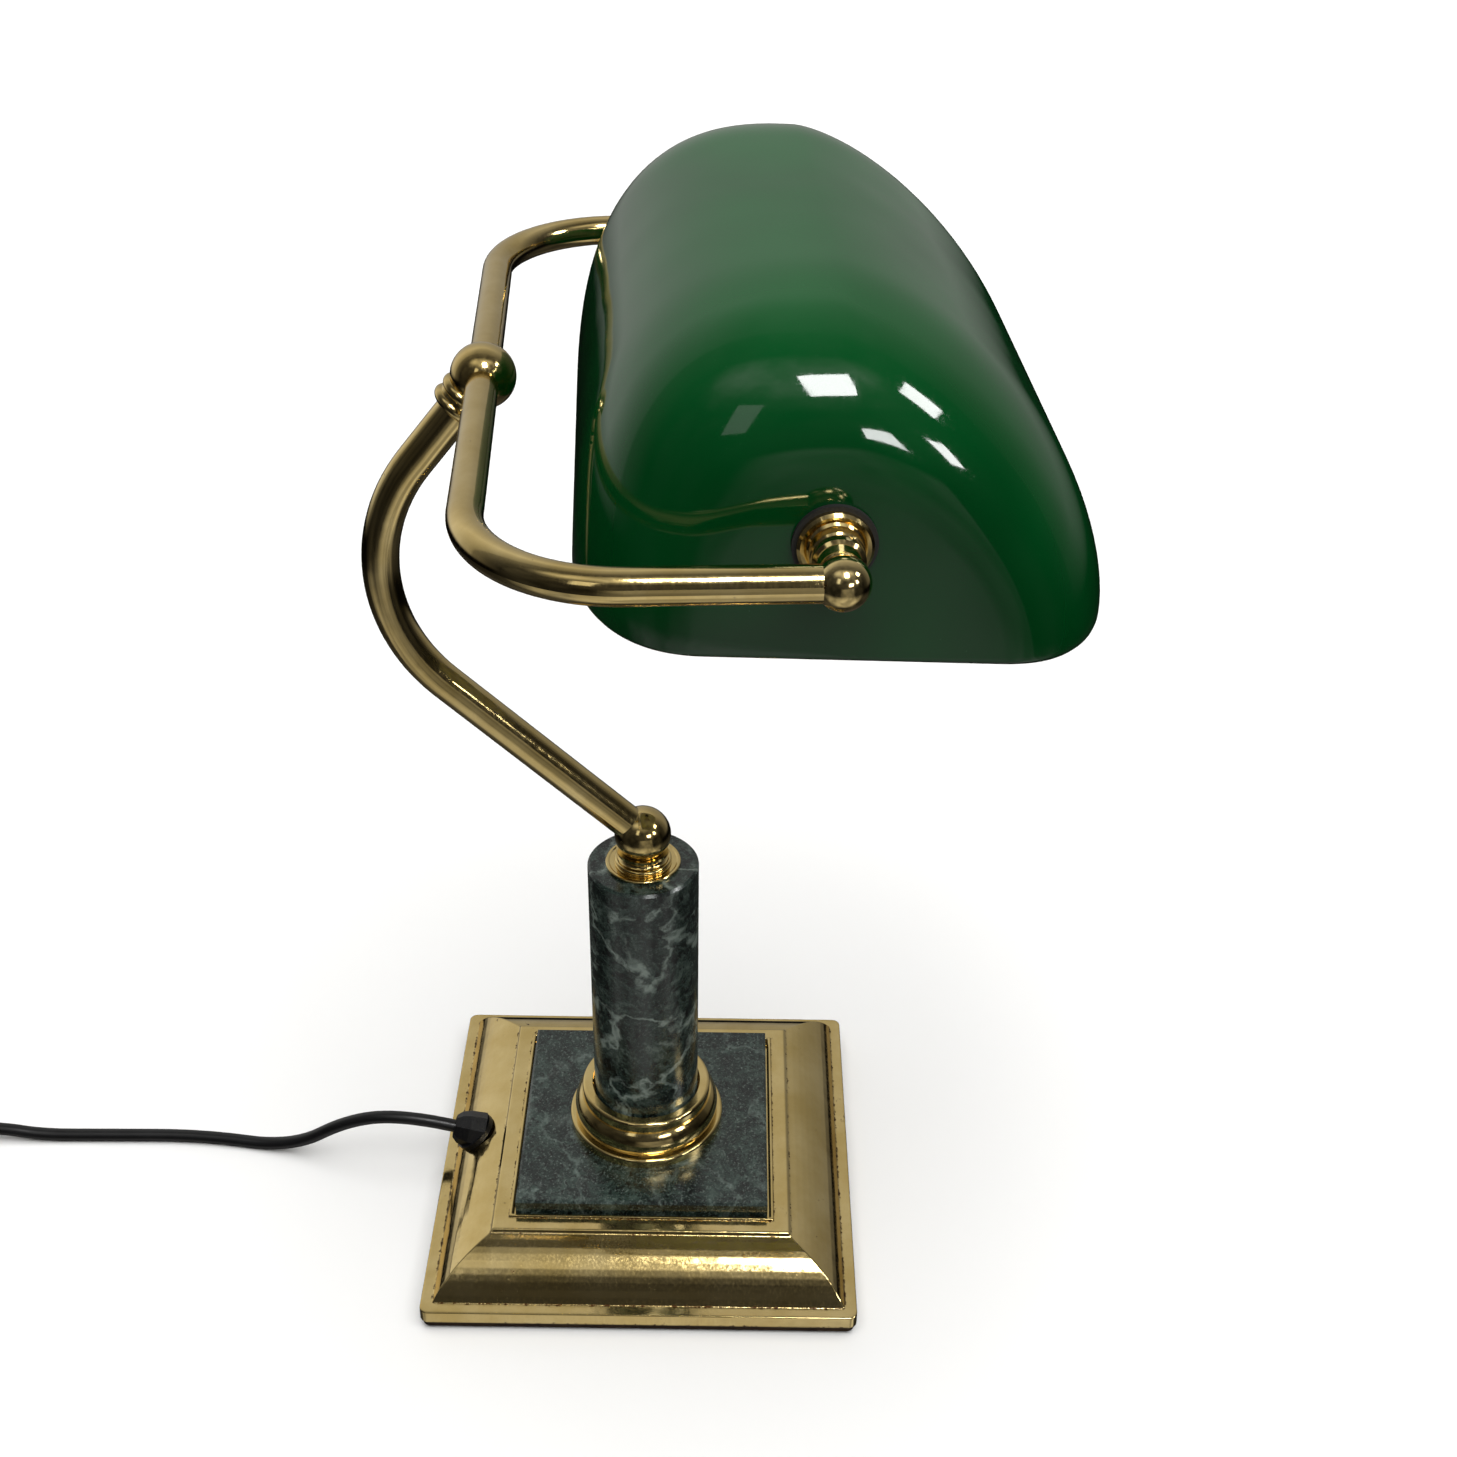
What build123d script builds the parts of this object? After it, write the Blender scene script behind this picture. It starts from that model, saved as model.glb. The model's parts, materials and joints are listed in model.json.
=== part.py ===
"""Banker desk lamp: a square brass-covered base, a marble plinth and column, a bowed brass arm, a brass
yoke, and a cased-glass shade that tilts between the yoke's ends around its bulb.

Millimetres. The origin is the centre of the base's underside and +Z is up. X runs along the shade, -Y is the
side where the person at the desk sits, and the mains cord leaves on the +Y side.
"""

import math
import os

from build123d import *

os.makedirs("parts", exist_ok=True)

# ---- fits ----
RUN_GAP = 0.06          # radial clearance of a shaft that turns in its bore
SEAT_GAP = 0.2          # loose seat of a piece that is clamped, such as marble on its rod
FACE_GAP = 0.1          # between flat faces that turn on each other
WALL = 1.0              # brass tube wall

# ---- base: felt, steel plate, iron weight, stamped brass cover ----
BASE_W = 160.0          # the cover's skirt, across the flats
SKIRT_H = 5.5
SKIRT_CORNER = 3.0      # radius of the skirt's upright corners
LEDGE_W = 4.4           # flat ledge between the skirt and the rounded slope
SLOPE_RUN = 19.8        # the slope's width, and its height
SLOPE_RISE = 15.6
SLOPE_BULGE = 2.8       # how far the slope stands out of a straight bevel
SHOULDER = 1.2          # small bevel above the slope
COVER_T = 1.2
FELT_T = 1.5
PLATE_T = 2.5
PLATE_INSET = 0.8       # the plate and felt stand this far inside the skirt
FELT_INSET = 2.0
WEIGHT_W = 96.0
SCREW_SPACING = 78.0    # four screws that hold the plate to the weight
SCREW_R = 2.0
SCREW_L = 12.0
ROD_POCKET_R = 13.0     # counterbore under the weight for the rod's nut
ROD_POCKET_H = 13.0

# ---- marble ----
PLINTH_W = 94.0
PLINTH_T = 8.0
PAN_DEPTH = 2.0         # the plinth sits this deep in a pan pressed into the cover
PAN_GAP = 1.1           # between the plinth and the pan's lip
LIP_W = 1.2
LIP_H = 0.8
COLUMN_R = 19.9
COLUMN_H = 120.9
STONE_CHAMFER = 0.9

# ---- turned brass on the column ----
COLLAR_H = 17.7
COLLAR_FLANGE_R = 29.6
COLLAR_FLANGE_H = 3.6
COLLAR_BULGE_R = 27.4
COLLAR_RIM_R = 24.6
COLLAR_FLOOR = 2.7      # brass under the column
COLLAR_GAP = 0.9        # around the column
CAP_R = 13.4
CAP_T = 1.2
SPOOL_H = 5.3           # turned neck under the lower ball
SPOOL_BEAD_R = 10.2
SPOOL_WAIST_R = 8.0
SPOOL_TOP_R = 9.4

# ---- threaded rod through the column ----
ROD_R = 5.0
ROD_BORE_R = 3.5
ROD_LOW = 10.0          # the rod's lower end above the floor
NUT_FLATS = 16.0
NUT_H = 5.0
WASHER_T = 1.5

# ---- arm ----
BALL_R = 10.0
ARM_R = 6.0
ARM_RISE = 173.0        # from the lower ball's centre up to the upper ball's
ARM_REACH = 46.0        # and back towards +Y
ARM_LEAVES = 45.0       # the arm's direction at each ball, in degrees from level
ARM_ARRIVES = 129.0
ARM_BEND = 60.0
STEM_R = 4.0            # hollow swivel stem in each ball
STEM_BORE_R = 2.75
CLIP_W = 0.8            # snap ring on the stem, its width and thickness
CLIP_T = 0.8
WEB = 2.0               # the turned web that a stem turns in
RING_R = 8.8            # ring collar under the upper ball
RING_L = 7.8
RING_GROOVE = 1.0
HEADING = 3.5           # how far the arm stands turned about the column at rest, in degrees

# ---- yoke ----
YOKE_R = 5.0
END_GAP = 21.0          # from the glass's end out to the middle of each end ball
YOKE_DEPTH = 95.0       # from the yoke's back tube forward to the shade's axis
YOKE_BEND = 41.0
END_BALL_R = 7.2

# ---- shade ----
GLASS_L = 220.0
GLASS_W = 151.0
GLASS_H = 91.0
GLASS_T = 3.5
GLASS_CREST = 8.0       # the crest stands this far behind the middle of the rim
BACK_POWERS = (2.56, 2.68)  # superellipse powers of the section behind the crest, and before it
FRONT_POWERS = (1.52, 1.60)
END_FLAT = 0.53         # each end face is the section at this share of its size
END_DEPTH = 56.0        # and the glass rounds off to it over this length
END_POWER = 2.3
AXIS_UP = 35.6          # the tilt axis above the rim's middle, and behind it
AXIS_BACK = 8.5
SHADE_LEAN = 2.8        # the rim's back edge stands up by this many degrees at rest
HOLE_ROOM = 0.6         # round the stud in the glass

# ---- fixings at the shade's ends ----
STUD_R = 5.0
STUD_BORE_R = 3.0
CUP_R = 10.0
CUP_T = 2.4
GASKET_R = 11.2         # outside the glass
INNER_GASKET_R = 9.5
GASKET_T = 1.5
INNER_WASHER_R = 9.0
STUD_NUT_FLATS = 14.0
STUD_NUT_H = 4.5

# ---- lamp holder and bulb ----
HOLDER_CAP_L = 14.0
HOLDER_L = 42.0
HOLDER_R = 19.0
HOLDER_T = 2.0
BULB_R = 30.0
BULB_L = 104.0
BULB_CAP_R = 13.0
BULB_CAP_L = 26.0
LINER_T = 0.6

# ---- wiring ----
CORD_R = 2.5
LEAD_R = 1.5
BLOCK_SIZE = (17.0, 16.0, 9.0)
BLOCK_Y = 34.0          # middle of the terminal block
BUSHING_FLANGE_R = 8.3  # on the middle of the slope
BUSHING_FLANGE_T = 2.0
BUSHING_NECK_R = 6.0
HEAD_RISE = 16.0        # the bushing's head points this many degrees above level
HEAD_L = 7.5

# ---- cord, switch and plug ----
SWITCH_SIZE = (24.0, 56.0, 16.0)
SWITCH_PLACE = (12.0, 303.0)
SWITCH_THROW = 14.0     # degrees
ROCKER_L = 17.0
ROCKER_W = 11.0
ROCKER_PIVOT_Z = 11.5
COIL_PLACE = (-50.0, 334.0)
COIL_MEAN_R = 28.5
COIL_THICK = 15.6
COIL_TALL = 14.0
PLUG_PLACE = (-40.0, 275.0)
PLUG_SIZE = (34.0, 25.0, 13.6)
PIN_R = 2.0
PIN_L = 19.0
PIN_SPACING = 18.6
PLUG_TAIL = 10.0        # the moulded sleeve behind the plug

# ---- levels that follow ----
PLATE_TOP = FELT_T + PLATE_T
LEDGE_Z = PLATE_TOP + SKIRT_H
SLOPE_TOP = LEDGE_Z + SLOPE_RISE
COVER_TOP = SLOPE_TOP + SHOULDER
PAN_TOP = COVER_TOP - PAN_DEPTH
PAN_UNDER = PAN_TOP - COVER_T
PLINTH_TOP = PAN_TOP + PLINTH_T
COLUMN_LOW = PLINTH_TOP + COLLAR_FLOOR
COLUMN_TOP = COLUMN_LOW + COLUMN_H
CAP_TOP = COLUMN_TOP + CAP_T
SPOOL_TOP = CAP_TOP + SPOOL_H
BALL_FLAT = 6.0         # from a ball's centre to its flat foot
BALL_Z = SPOOL_TOP + FACE_GAP + BALL_FLAT
UPPER_Z = BALL_Z + ARM_RISE
STEM_END = FACE_GAP + CLIP_T + 0.2      # a stem's tail beyond the web, past its clip
CLIP_ROOM = STEM_END + 0.2              # the room for both under the web
CLIP_ROOM_R = STEM_R + CLIP_W + 0.2
YOKE_HALF = GLASS_L / 2 + END_GAP       # from the middle to each end ball
GLASS_HOLE_R = STUD_R + HOLE_ROOM
AXIS = (0.0, ARM_REACH - YOKE_DEPTH, UPPER_Z)   # the shade's tilt axis
LEDGE_HALF = BASE_W / 2 - LEDGE_W
TOP_HALF = LEDGE_HALF - SLOPE_RUN - SHOULDER * 0.8
PAN_HALF = PLINTH_W / 2 + PAN_GAP
LOWER = Vector(0, 0, BALL_Z)
UPPER = Vector(0, ARM_REACH, UPPER_Z)
LEAVES = Vector(0, math.cos(math.radians(ARM_LEAVES)), math.sin(math.radians(ARM_LEAVES)))
ARRIVES = Vector(0, math.cos(math.radians(ARM_ARRIVES)), math.sin(math.radians(ARM_ARRIVES)))

nodes = {}


def keep(name, *solids, turned=False):
    """Adds solids to a node. Turned ones stand on the arm, which is turned about the column at rest."""
    place = Rot(0, 0, HEADING) if turned else Location()
    nodes.setdefault(name, []).extend(place * s for s in solids)


def along(start, direction):
    """A plane at start whose normal is the given direction, with its x along the row's X where it can be."""
    x_dir = Vector(1, 0, 0) if abs(direction.normalized().X) < 0.9 else Vector(0, 1, 0)
    return Plane(origin=start, x_dir=x_dir, z_dir=direction)


def rod_between(start, direction, length, radius):
    """A round rod from start, along a direction."""
    return along(start, direction) * extrude(Circle(radius), length)


def ring_between(start, direction, length, radius, bore):
    return along(start, direction) * extrude(Circle(radius) - Circle(bore), length)


def turned_piece(profile, start, direction):
    """Revolves a closed outline of (radius, height) points, or a sketch face, about a direction."""
    face = profile if isinstance(profile, (Face, Sketch)) else make_face(Polyline(*profile, close=True))
    solid = revolve(Plane.XZ * face, Axis.Z)
    return along(start, direction) * solid


def hex_nut(start, direction, flats, height, bore):
    blank = RegularPolygon(flats / 2, 6, major_radius=False)
    return along(start, direction) * extrude(blank - Circle(bore), height)


def tube_on(path, radius, bore=0.0):
    """Sweeps a round section, or a ring, along a path of straight runs and tangent arcs."""
    section = Circle(radius) - Circle(bore) if bore else Circle(radius)
    return sweep(along(path @ 0, path % 0) * section, path=path)


def soft_path(points):
    """Straight runs joined by arcs as large as the runs allow. Prints the arcs' radii."""
    v = [Vector(*p) for p in points]
    radii = []
    for a, b, c in zip(v, v[1:], v[2:]):
        half_turn = math.radians((b - a).get_angle(c - b)) / 2
        radii.append(0.45 * min((b - a).length, (c - b).length) / math.tan(half_turn))
    print("arc radii", [round(r, 1) for r in radii])
    return FilletPolyline(*v, radius=radii)


# ---- base ----
def cover_solid(skin, low):
    """The cover's outer form, or its inside when skin is the sheet's thickness.

    The same moulding runs along X and along Y, and where the two meet it is mitred."""
    half = BASE_W / 2 - skin
    foot = Vector(LEDGE_HALF - 0.6 * skin, LEDGE_Z - skin)
    head = Vector(LEDGE_HALF - SLOPE_RUN - 0.6 * skin, SLOPE_TOP - skin)
    slope = (head - foot).normalized()
    out = Vector(slope.Y, -slope.X)
    middle = (foot + head) * 0.5 + out * SLOPE_BULGE
    top = Vector(TOP_HALF - 0.6 * skin, COVER_TOP - skin)
    right = [(half, low), (half, LEDGE_Z - skin), (foot.X, foot.Y)]
    left = [(-x, y) for x, y in right]
    outline = [
        Polyline(*right),
        ThreePointArc(foot, middle, head),
        Polyline((head.X, head.Y), (top.X, top.Y), (-top.X, top.Y), (-head.X, head.Y)),
        ThreePointArc((-head.X, head.Y), (-middle.X, middle.Y), (-foot.X, foot.Y)),
        Polyline(*left),
        Line((-half, low), (half, low)),
    ]
    face = make_face(outline)
    length = BASE_W + 10
    across = extrude(Plane.XZ * face, length / 2, both=True)
    return across & (Rot(0, 0, 90) * across)


def slope_point():
    """The middle of the slope's outer face on the +Y side, and the direction square to the sheet there."""
    foot = Vector(0, LEDGE_HALF, LEDGE_Z)
    head = Vector(0, LEDGE_HALF - SLOPE_RUN, SLOPE_TOP)
    chord = head - foot
    out = Vector(0, chord.Z, -chord.Y).normalized()
    return foot + chord * 0.5 + out * SLOPE_BULGE, out


def base_cover():
    outer = cover_solid(0, PLATE_TOP)
    uprights = outer.edges().filter_by(Axis.Z).sort_by(Axis.Z)[:4]
    outer = fillet(uprights, SKIRT_CORNER)
    lip = Pos(0, 0, COVER_TOP) * extrude(Rectangle(*[2 * (PAN_HALF + LIP_W)] * 2), LIP_H)
    pan = Pos(0, 0, PAN_TOP) * extrude(Rectangle(*[2 * PAN_HALF] * 2), PAN_DEPTH + LIP_H + 1)
    block = Pos(0, 0, PAN_UNDER) * extrude(Rectangle(*[2 * (PAN_HALF + LIP_W)] * 2), PLINTH_T)
    inside = cover_solid(COVER_T, PLATE_TOP - 1) - block
    shell = outer + lip - pan - inside
    point, out = slope_point()
    shell -= rod_between(point - out * 8, out, 12, BUSHING_NECK_R + SEAT_GAP / 2)
    return shell - Pos(0, 0, PAN_UNDER - 1) * extrude(Circle(ROD_R + SEAT_GAP), PLINTH_T)


def base_plate():
    side = BASE_W - 2 * PLATE_INSET
    plate = Pos(0, 0, FELT_T) * extrude(RectangleRounded(side, side, SKIRT_CORNER), PLATE_T)
    plate -= Pos(0, 0, FELT_T) * extrude(Circle(ROD_POCKET_R), PLATE_T)
    for spot in GridLocations(SCREW_SPACING, SCREW_SPACING, 2, 2):
        plate -= spot * Pos(0, 0, FELT_T) * screw_blank(SEAT_GAP / 2)
    return plate


def screw_blank(gap):
    """A countersunk screw pointing up, its head's face at z = 0."""
    head_r = 2 * SCREW_R + gap
    shank_r = SCREW_R + gap
    outline = [(0, 0), (head_r, 0), (shank_r, SCREW_R), (shank_r, SCREW_L + 4 * gap), (0, SCREW_L + 4 * gap)]
    return revolve(Plane.XZ * make_face(Polyline(*outline, close=True)), Axis.Z)


def plate_screws():
    slot = Box(3 * SCREW_R, 0.8, 1.2)
    return [spot * Pos(0, 0, FELT_T) * (screw_blank(0) - slot)
            for spot in GridLocations(SCREW_SPACING, SCREW_SPACING, 2, 2)]


def base_weight():
    height = PAN_UNDER - PLATE_TOP
    block = Pos(0, 0, PLATE_TOP) * extrude(RectangleRounded(WEIGHT_W, WEIGHT_W, 5), height)
    block -= Pos(0, 0, PLATE_TOP) * extrude(Circle(ROD_POCKET_R), ROD_POCKET_H)
    block -= Pos(0, 0, PLATE_TOP) * extrude(Circle(ROD_R + SEAT_GAP), height)
    # the cord's way in from +Y, and the room for the terminal block on it
    channel_w = 2 * CORD_R + 4
    channel = Pos(0, WEIGHT_W / 4 + 1, PLATE_TOP) * extrude(Rectangle(channel_w, WEIGHT_W / 2 + 2), 9)
    room = extrude(Rectangle(BLOCK_SIZE[0] + 2, BLOCK_SIZE[1] + 2), BLOCK_SIZE[2] + 1)
    block = block - channel - Pos(0, BLOCK_Y, PLATE_TOP) * room
    for spot in GridLocations(SCREW_SPACING, SCREW_SPACING, 2, 2):
        block -= spot * Pos(0, 0, FELT_T) * screw_blank(SEAT_GAP / 2)
    return block


def terminal_block():
    """A two-way block: moulded body with two brass barrels, their screws in open wells."""
    wide, deep, tall = BLOCK_SIZE
    low = PLATE_TOP + 0.5
    place = Pos(0, BLOCK_Y, low + tall / 2)
    body = Box(wide, deep, tall)
    body = fillet(body.edges().filter_by(Axis.Z), 1.2)
    barrels = []
    for x in (-wide / 4, wide / 4):
        way = Pos(x, 0, 0) * Rot(90, 0, 0)
        body -= way * Cylinder(2.2, deep + 1)
        body -= Pos(x, 0, tall / 4) * Cylinder(1.6, tall / 2 + 0.1)
        barrels.append(place * way * (Cylinder(2.2, deep - 4) - Cylinder(1.4, deep)))
    return place * body, barrels


def base():
    felt_side = BASE_W - 2 * FELT_INSET
    keep("felt_pad", extrude(RectangleRounded(felt_side, felt_side, SKIRT_CORNER), FELT_T))
    keep("base_plate", base_plate())
    keep("plate_screws", *plate_screws())
    keep("base_weight", base_weight())
    keep("base_cover", base_cover())
    body, barrels = terminal_block()
    keep("terminal_block", body)
    keep("terminal_barrels", *barrels)


# ---- plinth, column and what holds them ----
def marble():
    slab = Pos(0, 0, PAN_TOP) * extrude(Rectangle(PLINTH_W, PLINTH_W), PLINTH_T)
    slab = chamfer(slab.edges().group_by(Axis.Z)[-1], STONE_CHAMFER)
    keep("marble_plinth", slab - Pos(0, 0, PAN_TOP) * extrude(Circle(ROD_R + SEAT_GAP), PLINTH_T))
    shaft = Pos(0, 0, COLUMN_LOW) * extrude(Circle(COLUMN_R), COLUMN_H)
    shaft = chamfer(shaft.edges(), STONE_CHAMFER)
    keep("marble_column", shaft - Pos(0, 0, COLUMN_LOW) * extrude(Circle(ROD_R + 1), COLUMN_H))


def column_collar():
    """A turned collar: a flange on the plinth, an ogee bulge, and a rim around the column."""
    seat_r = COLUMN_R + COLLAR_GAP
    flange = COLLAR_FLANGE_H
    waist = COLLAR_BULGE_R - 0.6
    shoulder = COLLAR_H - 4.4
    outline = [
        Polyline((ROD_R + SEAT_GAP, 0), (COLLAR_FLANGE_R, 0), (COLLAR_FLANGE_R, flange - 1.0)),
        RadiusArc((COLLAR_FLANGE_R, flange - 1.0), (COLLAR_FLANGE_R - 1.0, flange), -1.0),
        Line((COLLAR_FLANGE_R - 1.0, flange), (waist, flange)),
        ThreePointArc((waist, flange), (COLLAR_BULGE_R, (flange + shoulder) / 2 + 0.5),
                      (COLLAR_RIM_R + 0.4, shoulder)),
        Polyline((COLLAR_RIM_R + 0.4, shoulder), (COLLAR_RIM_R, shoulder), (COLLAR_RIM_R, COLLAR_H - 1.2)),
        RadiusArc((COLLAR_RIM_R, COLLAR_H - 1.2), (COLLAR_RIM_R - 1.2, COLLAR_H), -1.2),
        Polyline((COLLAR_RIM_R - 1.2, COLLAR_H), (seat_r, COLLAR_H), (seat_r, COLLAR_FLOOR),
                 (ROD_R + SEAT_GAP, COLLAR_FLOOR), (ROD_R + SEAT_GAP, 0)),
    ]
    return turned_piece(make_face(outline), Vector(0, 0, PLINTH_TOP), Vector(0, 0, 1))


def spool_outline(height, bore, bead_r, waist_r, top_r):
    """A turned neck: a bead, a hollow waist and a top ring."""
    bead = height * 0.3
    ring = height * 0.8
    return make_face([
        Polyline((bore, 0), (bead_r - bead / 2, 0)),
        ThreePointArc((bead_r - bead / 2, 0), (bead_r, bead / 2), (bead_r - bead / 2, bead)),
        Line((bead_r - bead / 2, bead), (bead_r - bead / 2 - 0.4, bead)),
        ThreePointArc((bead_r - bead / 2 - 0.4, bead), (waist_r, (bead + ring) / 2), (top_r - 0.3, ring)),
        Polyline((top_r - 0.3, ring), (top_r, ring), (top_r, height), (bore, height), (bore, 0)),
    ])


def neck_spool():
    """Screws on the rod from above and carries the arm's swivel stem in its upper web."""
    spool = turned_piece(spool_outline(SPOOL_H, STEM_R + RUN_GAP, SPOOL_BEAD_R, SPOOL_WAIST_R, SPOOL_TOP_R),
                         Vector(0, 0, CAP_TOP), Vector(0, 0, 1))
    rod_seat = SPOOL_H - WEB - CLIP_ROOM
    spool -= Pos(0, 0, CAP_TOP) * extrude(Circle(ROD_R), rod_seat)
    return spool - Pos(0, 0, CAP_TOP + rod_seat) * extrude(Circle(CLIP_ROOM_R), CLIP_ROOM)


def column_fixings():
    up = Vector(0, 0, 1)
    keep("column_collar", column_collar())
    rim = 0.5
    dish = [(ROD_R + SEAT_GAP, 0), (CAP_R - rim, 0), (CAP_R, rim), (CAP_R, CAP_T - rim / 2),
            (CAP_R - rim / 2, CAP_T), (CAP_R - 2 * rim, CAP_T), (CAP_R - 3 * rim, CAP_T - rim / 2),
            (SPOOL_BEAD_R, CAP_T - rim / 2), (SPOOL_BEAD_R - rim, CAP_T), (ROD_R + SEAT_GAP, CAP_T)]
    keep("column_cap", turned_piece(dish, Vector(0, 0, COLUMN_TOP), up))
    keep("neck_spool", neck_spool())
    rod_top = SPOOL_TOP - WEB - CLIP_ROOM
    keep("centre_rod", ring_between(Vector(0, 0, ROD_LOW), up, rod_top - ROD_LOW, ROD_R, ROD_BORE_R))
    seat = PLATE_TOP + ROD_POCKET_H
    washer = ring_between(Vector(0, 0, seat - WASHER_T), up, WASHER_T, ROD_POCKET_R - 1, ROD_R + 0.3)
    keep("rod_washer", washer)
    keep("rod_nut", hex_nut(Vector(0, 0, seat - WASHER_T - NUT_H), up, NUT_FLATS, NUT_H, ROD_R))


# ---- arm ----
def arm_path(start_skip, end_skip):
    """The arm's centre line, less a length at the lower ball's centre and at the upper ball's."""
    gap = UPPER - LOWER
    cross = LEAVES.Y * ARRIVES.Z - LEAVES.Z * ARRIVES.Y
    reach = (gap.Y * ARRIVES.Z - gap.Z * ARRIVES.Y) / cross
    knee = LOWER + LEAVES * reach
    return FilletPolyline(LOWER + LEAVES * start_skip, knee, UPPER - ARRIVES * end_skip, radius=ARM_BEND)


def swivel_stem(centre, direction, depth):
    """A hollow stem whose head is fixed in a ball and whose tail turns in the web below it."""
    return ring_between(centre - direction * depth, direction, depth - BALL_FLAT + 3, STEM_R, STEM_BORE_R)


def ball_blank(centre, direction):
    """A ball with a flat foot square to its stem."""
    ball = Sphere(BALL_R) - Pos(0, 0, -BALL_R - BALL_FLAT) * Box(3 * BALL_R, 3 * BALL_R, 2 * BALL_R)
    return along(centre, direction) * ball


def lower_ball():
    up = Vector(0, 0, 1)
    ball = ball_blank(LOWER, up)
    ball -= rod_between(LOWER - up * BALL_R, up, BALL_R - BALL_FLAT + 3, STEM_R)
    ball -= rod_between(LOWER - up * BALL_R, up, BALL_R, STEM_BORE_R)
    ball -= rod_between(LOWER + LEAVES * ARM_START, LEAVES, BALL_R, ARM_R)
    ball -= rod_between(LOWER, LEAVES, BALL_R, ARM_R - WALL)
    return ball - Pos(*LOWER) * Sphere(STEM_BORE_R + 0.4)


ARM_START = 5.0         # the arm tube's end inside the lower ball
RING_FAR = BALL_FLAT + FACE_GAP + RING_L        # the ring collar's lower face from the upper ball's centre
TUBE_END = BALL_FLAT + FACE_GAP + WEB + CLIP_ROOM     # the arm tube's end, in the ring collar's socket


def arm_ring():
    """The ring collar on the arm's upper end: two beads with a groove between them."""
    bead = (RING_L - RING_GROOVE) / 2
    second = RING_L - bead
    outer = RING_R
    inner = RING_R - RING_GROOVE
    bore = STEM_R + RUN_GAP
    outline = [
        Line((bore, 0), (inner, 0)),
        ThreePointArc((inner, 0), (outer, bead / 2), (inner, bead)),
        Line((inner, bead), (inner, second)),
        ThreePointArc((inner, second), (outer, second + bead / 2), (inner, RING_L)),
        Polyline((inner, RING_L), (bore, RING_L), (bore, 0)),
    ]
    start = UPPER - ARRIVES * RING_FAR
    ring = turned_piece(make_face(outline), start, ARRIVES)
    ring -= rod_between(start, ARRIVES, RING_FAR - TUBE_END, ARM_R)
    return ring - rod_between(start, ARRIVES, RING_FAR - TUBE_END + CLIP_ROOM, CLIP_ROOM_R)


def stem_clip(centre, direction, web_under):
    """A snap ring on a stem, just under the web that it turns in."""
    start = centre - direction * (web_under + FACE_GAP + CLIP_T)
    return ring_between(start, direction, CLIP_T, STEM_R + CLIP_W, STEM_R)


def lead(points, radius=LEAD_R, bend=5.0):
    """A lead held inside the metalwork, with the same bend at each corner."""
    corners = len(points) - 2
    path = FilletPolyline(*points, radius=bend) if corners else Line(*points)
    return tube_on(path, radius)


def arm():
    up = Vector(0, 0, 1)
    foot_web = BALL_FLAT + FACE_GAP + WEB
    keep("lower_ball", lower_ball(), turned=True)
    keep("swivel_stem", swivel_stem(LOWER, up, foot_web + STEM_END), turned=True)
    keep("swivel_clip", stem_clip(LOWER, up, foot_web), turned=True)
    keep("arm_tube", tube_on(arm_path(ARM_START, TUBE_END), ARM_R, ARM_R - WALL), turned=True)
    keep("arm_ring", arm_ring(), turned=True)
    start = LOWER - up * (foot_web + STEM_END)
    join = 16.0
    knee = lead([start, LOWER, LOWER + LEAVES * join])
    bow = tube_on(arm_path(join, RING_FAR + 2), LEAD_R)
    keep("lead_in_arm", knee, bow, turned=True)


# ---- yoke ----
def yoke_path(side):
    """One side of the yoke's centre line, from inside the upper ball to inside the end ball."""
    corner = UPPER + Vector(side * YOKE_HALF, 0, 0)
    start = UPPER + Vector(side * YOKE_START, 0, 0)
    end = Vector(side * YOKE_HALF, AXIS[1] + END_START, AXIS[2])
    return FilletPolyline(start, corner, end, radius=YOKE_BEND)


YOKE_START = 6.0        # the yoke tube's end inside the upper ball
END_START = 4.0         # and inside the end ball


def upper_ball():
    ball = ball_blank(UPPER, ARRIVES)
    ball -= rod_between(UPPER - ARRIVES * BALL_R, ARRIVES, BALL_R - BALL_FLAT + 3, STEM_R)
    ball -= rod_between(UPPER - ARRIVES * BALL_R, ARRIVES, BALL_R, STEM_BORE_R)
    for side in (-1, 1):
        out = Vector(side, 0, 0)
        ball -= rod_between(UPPER + out * YOKE_START, out, BALL_R, YOKE_R)
        ball -= rod_between(UPPER, out, BALL_R, YOKE_R - WALL)
    return ball


def end_ball(side):
    centre = Vector(side * YOKE_HALF, AXIS[1], AXIS[2])
    inward = Vector(-side, 0, 0)
    back = Vector(0, 1, 0)
    # the sphere's seam is turned to the front, clear of both sockets
    ball = Pos(*centre) * Rot(0, 0, -90) * Sphere(END_BALL_R)
    ball -= rod_between(centre + back * END_START, back, END_BALL_R, YOKE_R)
    ball -= rod_between(centre + inward * STUD_START, inward, END_BALL_R, STUD_R)
    if side > 0:
        ball -= rod_between(centre, back, END_BALL_R, STUD_BORE_R)
        ball -= rod_between(centre, inward, END_BALL_R, STUD_BORE_R)
        ball -= Pos(*centre) * Sphere(STUD_BORE_R + 0.2)
    return ball


STUD_START = 3.5        # the stud's end inside the end ball
GLASS_END = GLASS_L / 2
CUP_OUTER = GLASS_END + GASKET_T + CUP_T        # the cup washer's outer face, from the middle
INNER_FACE = GLASS_END - GLASS_T - GASKET_T - WASHER_T  # the inner washer's inner face
NUT_FACE = INNER_FACE - FACE_GAP
STUD_END = NUT_FACE - STUD_NUT_H - 1
HOLDER_BACK = NUT_FACE - STUD_NUT_H             # the lamp holder's back wall


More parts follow.
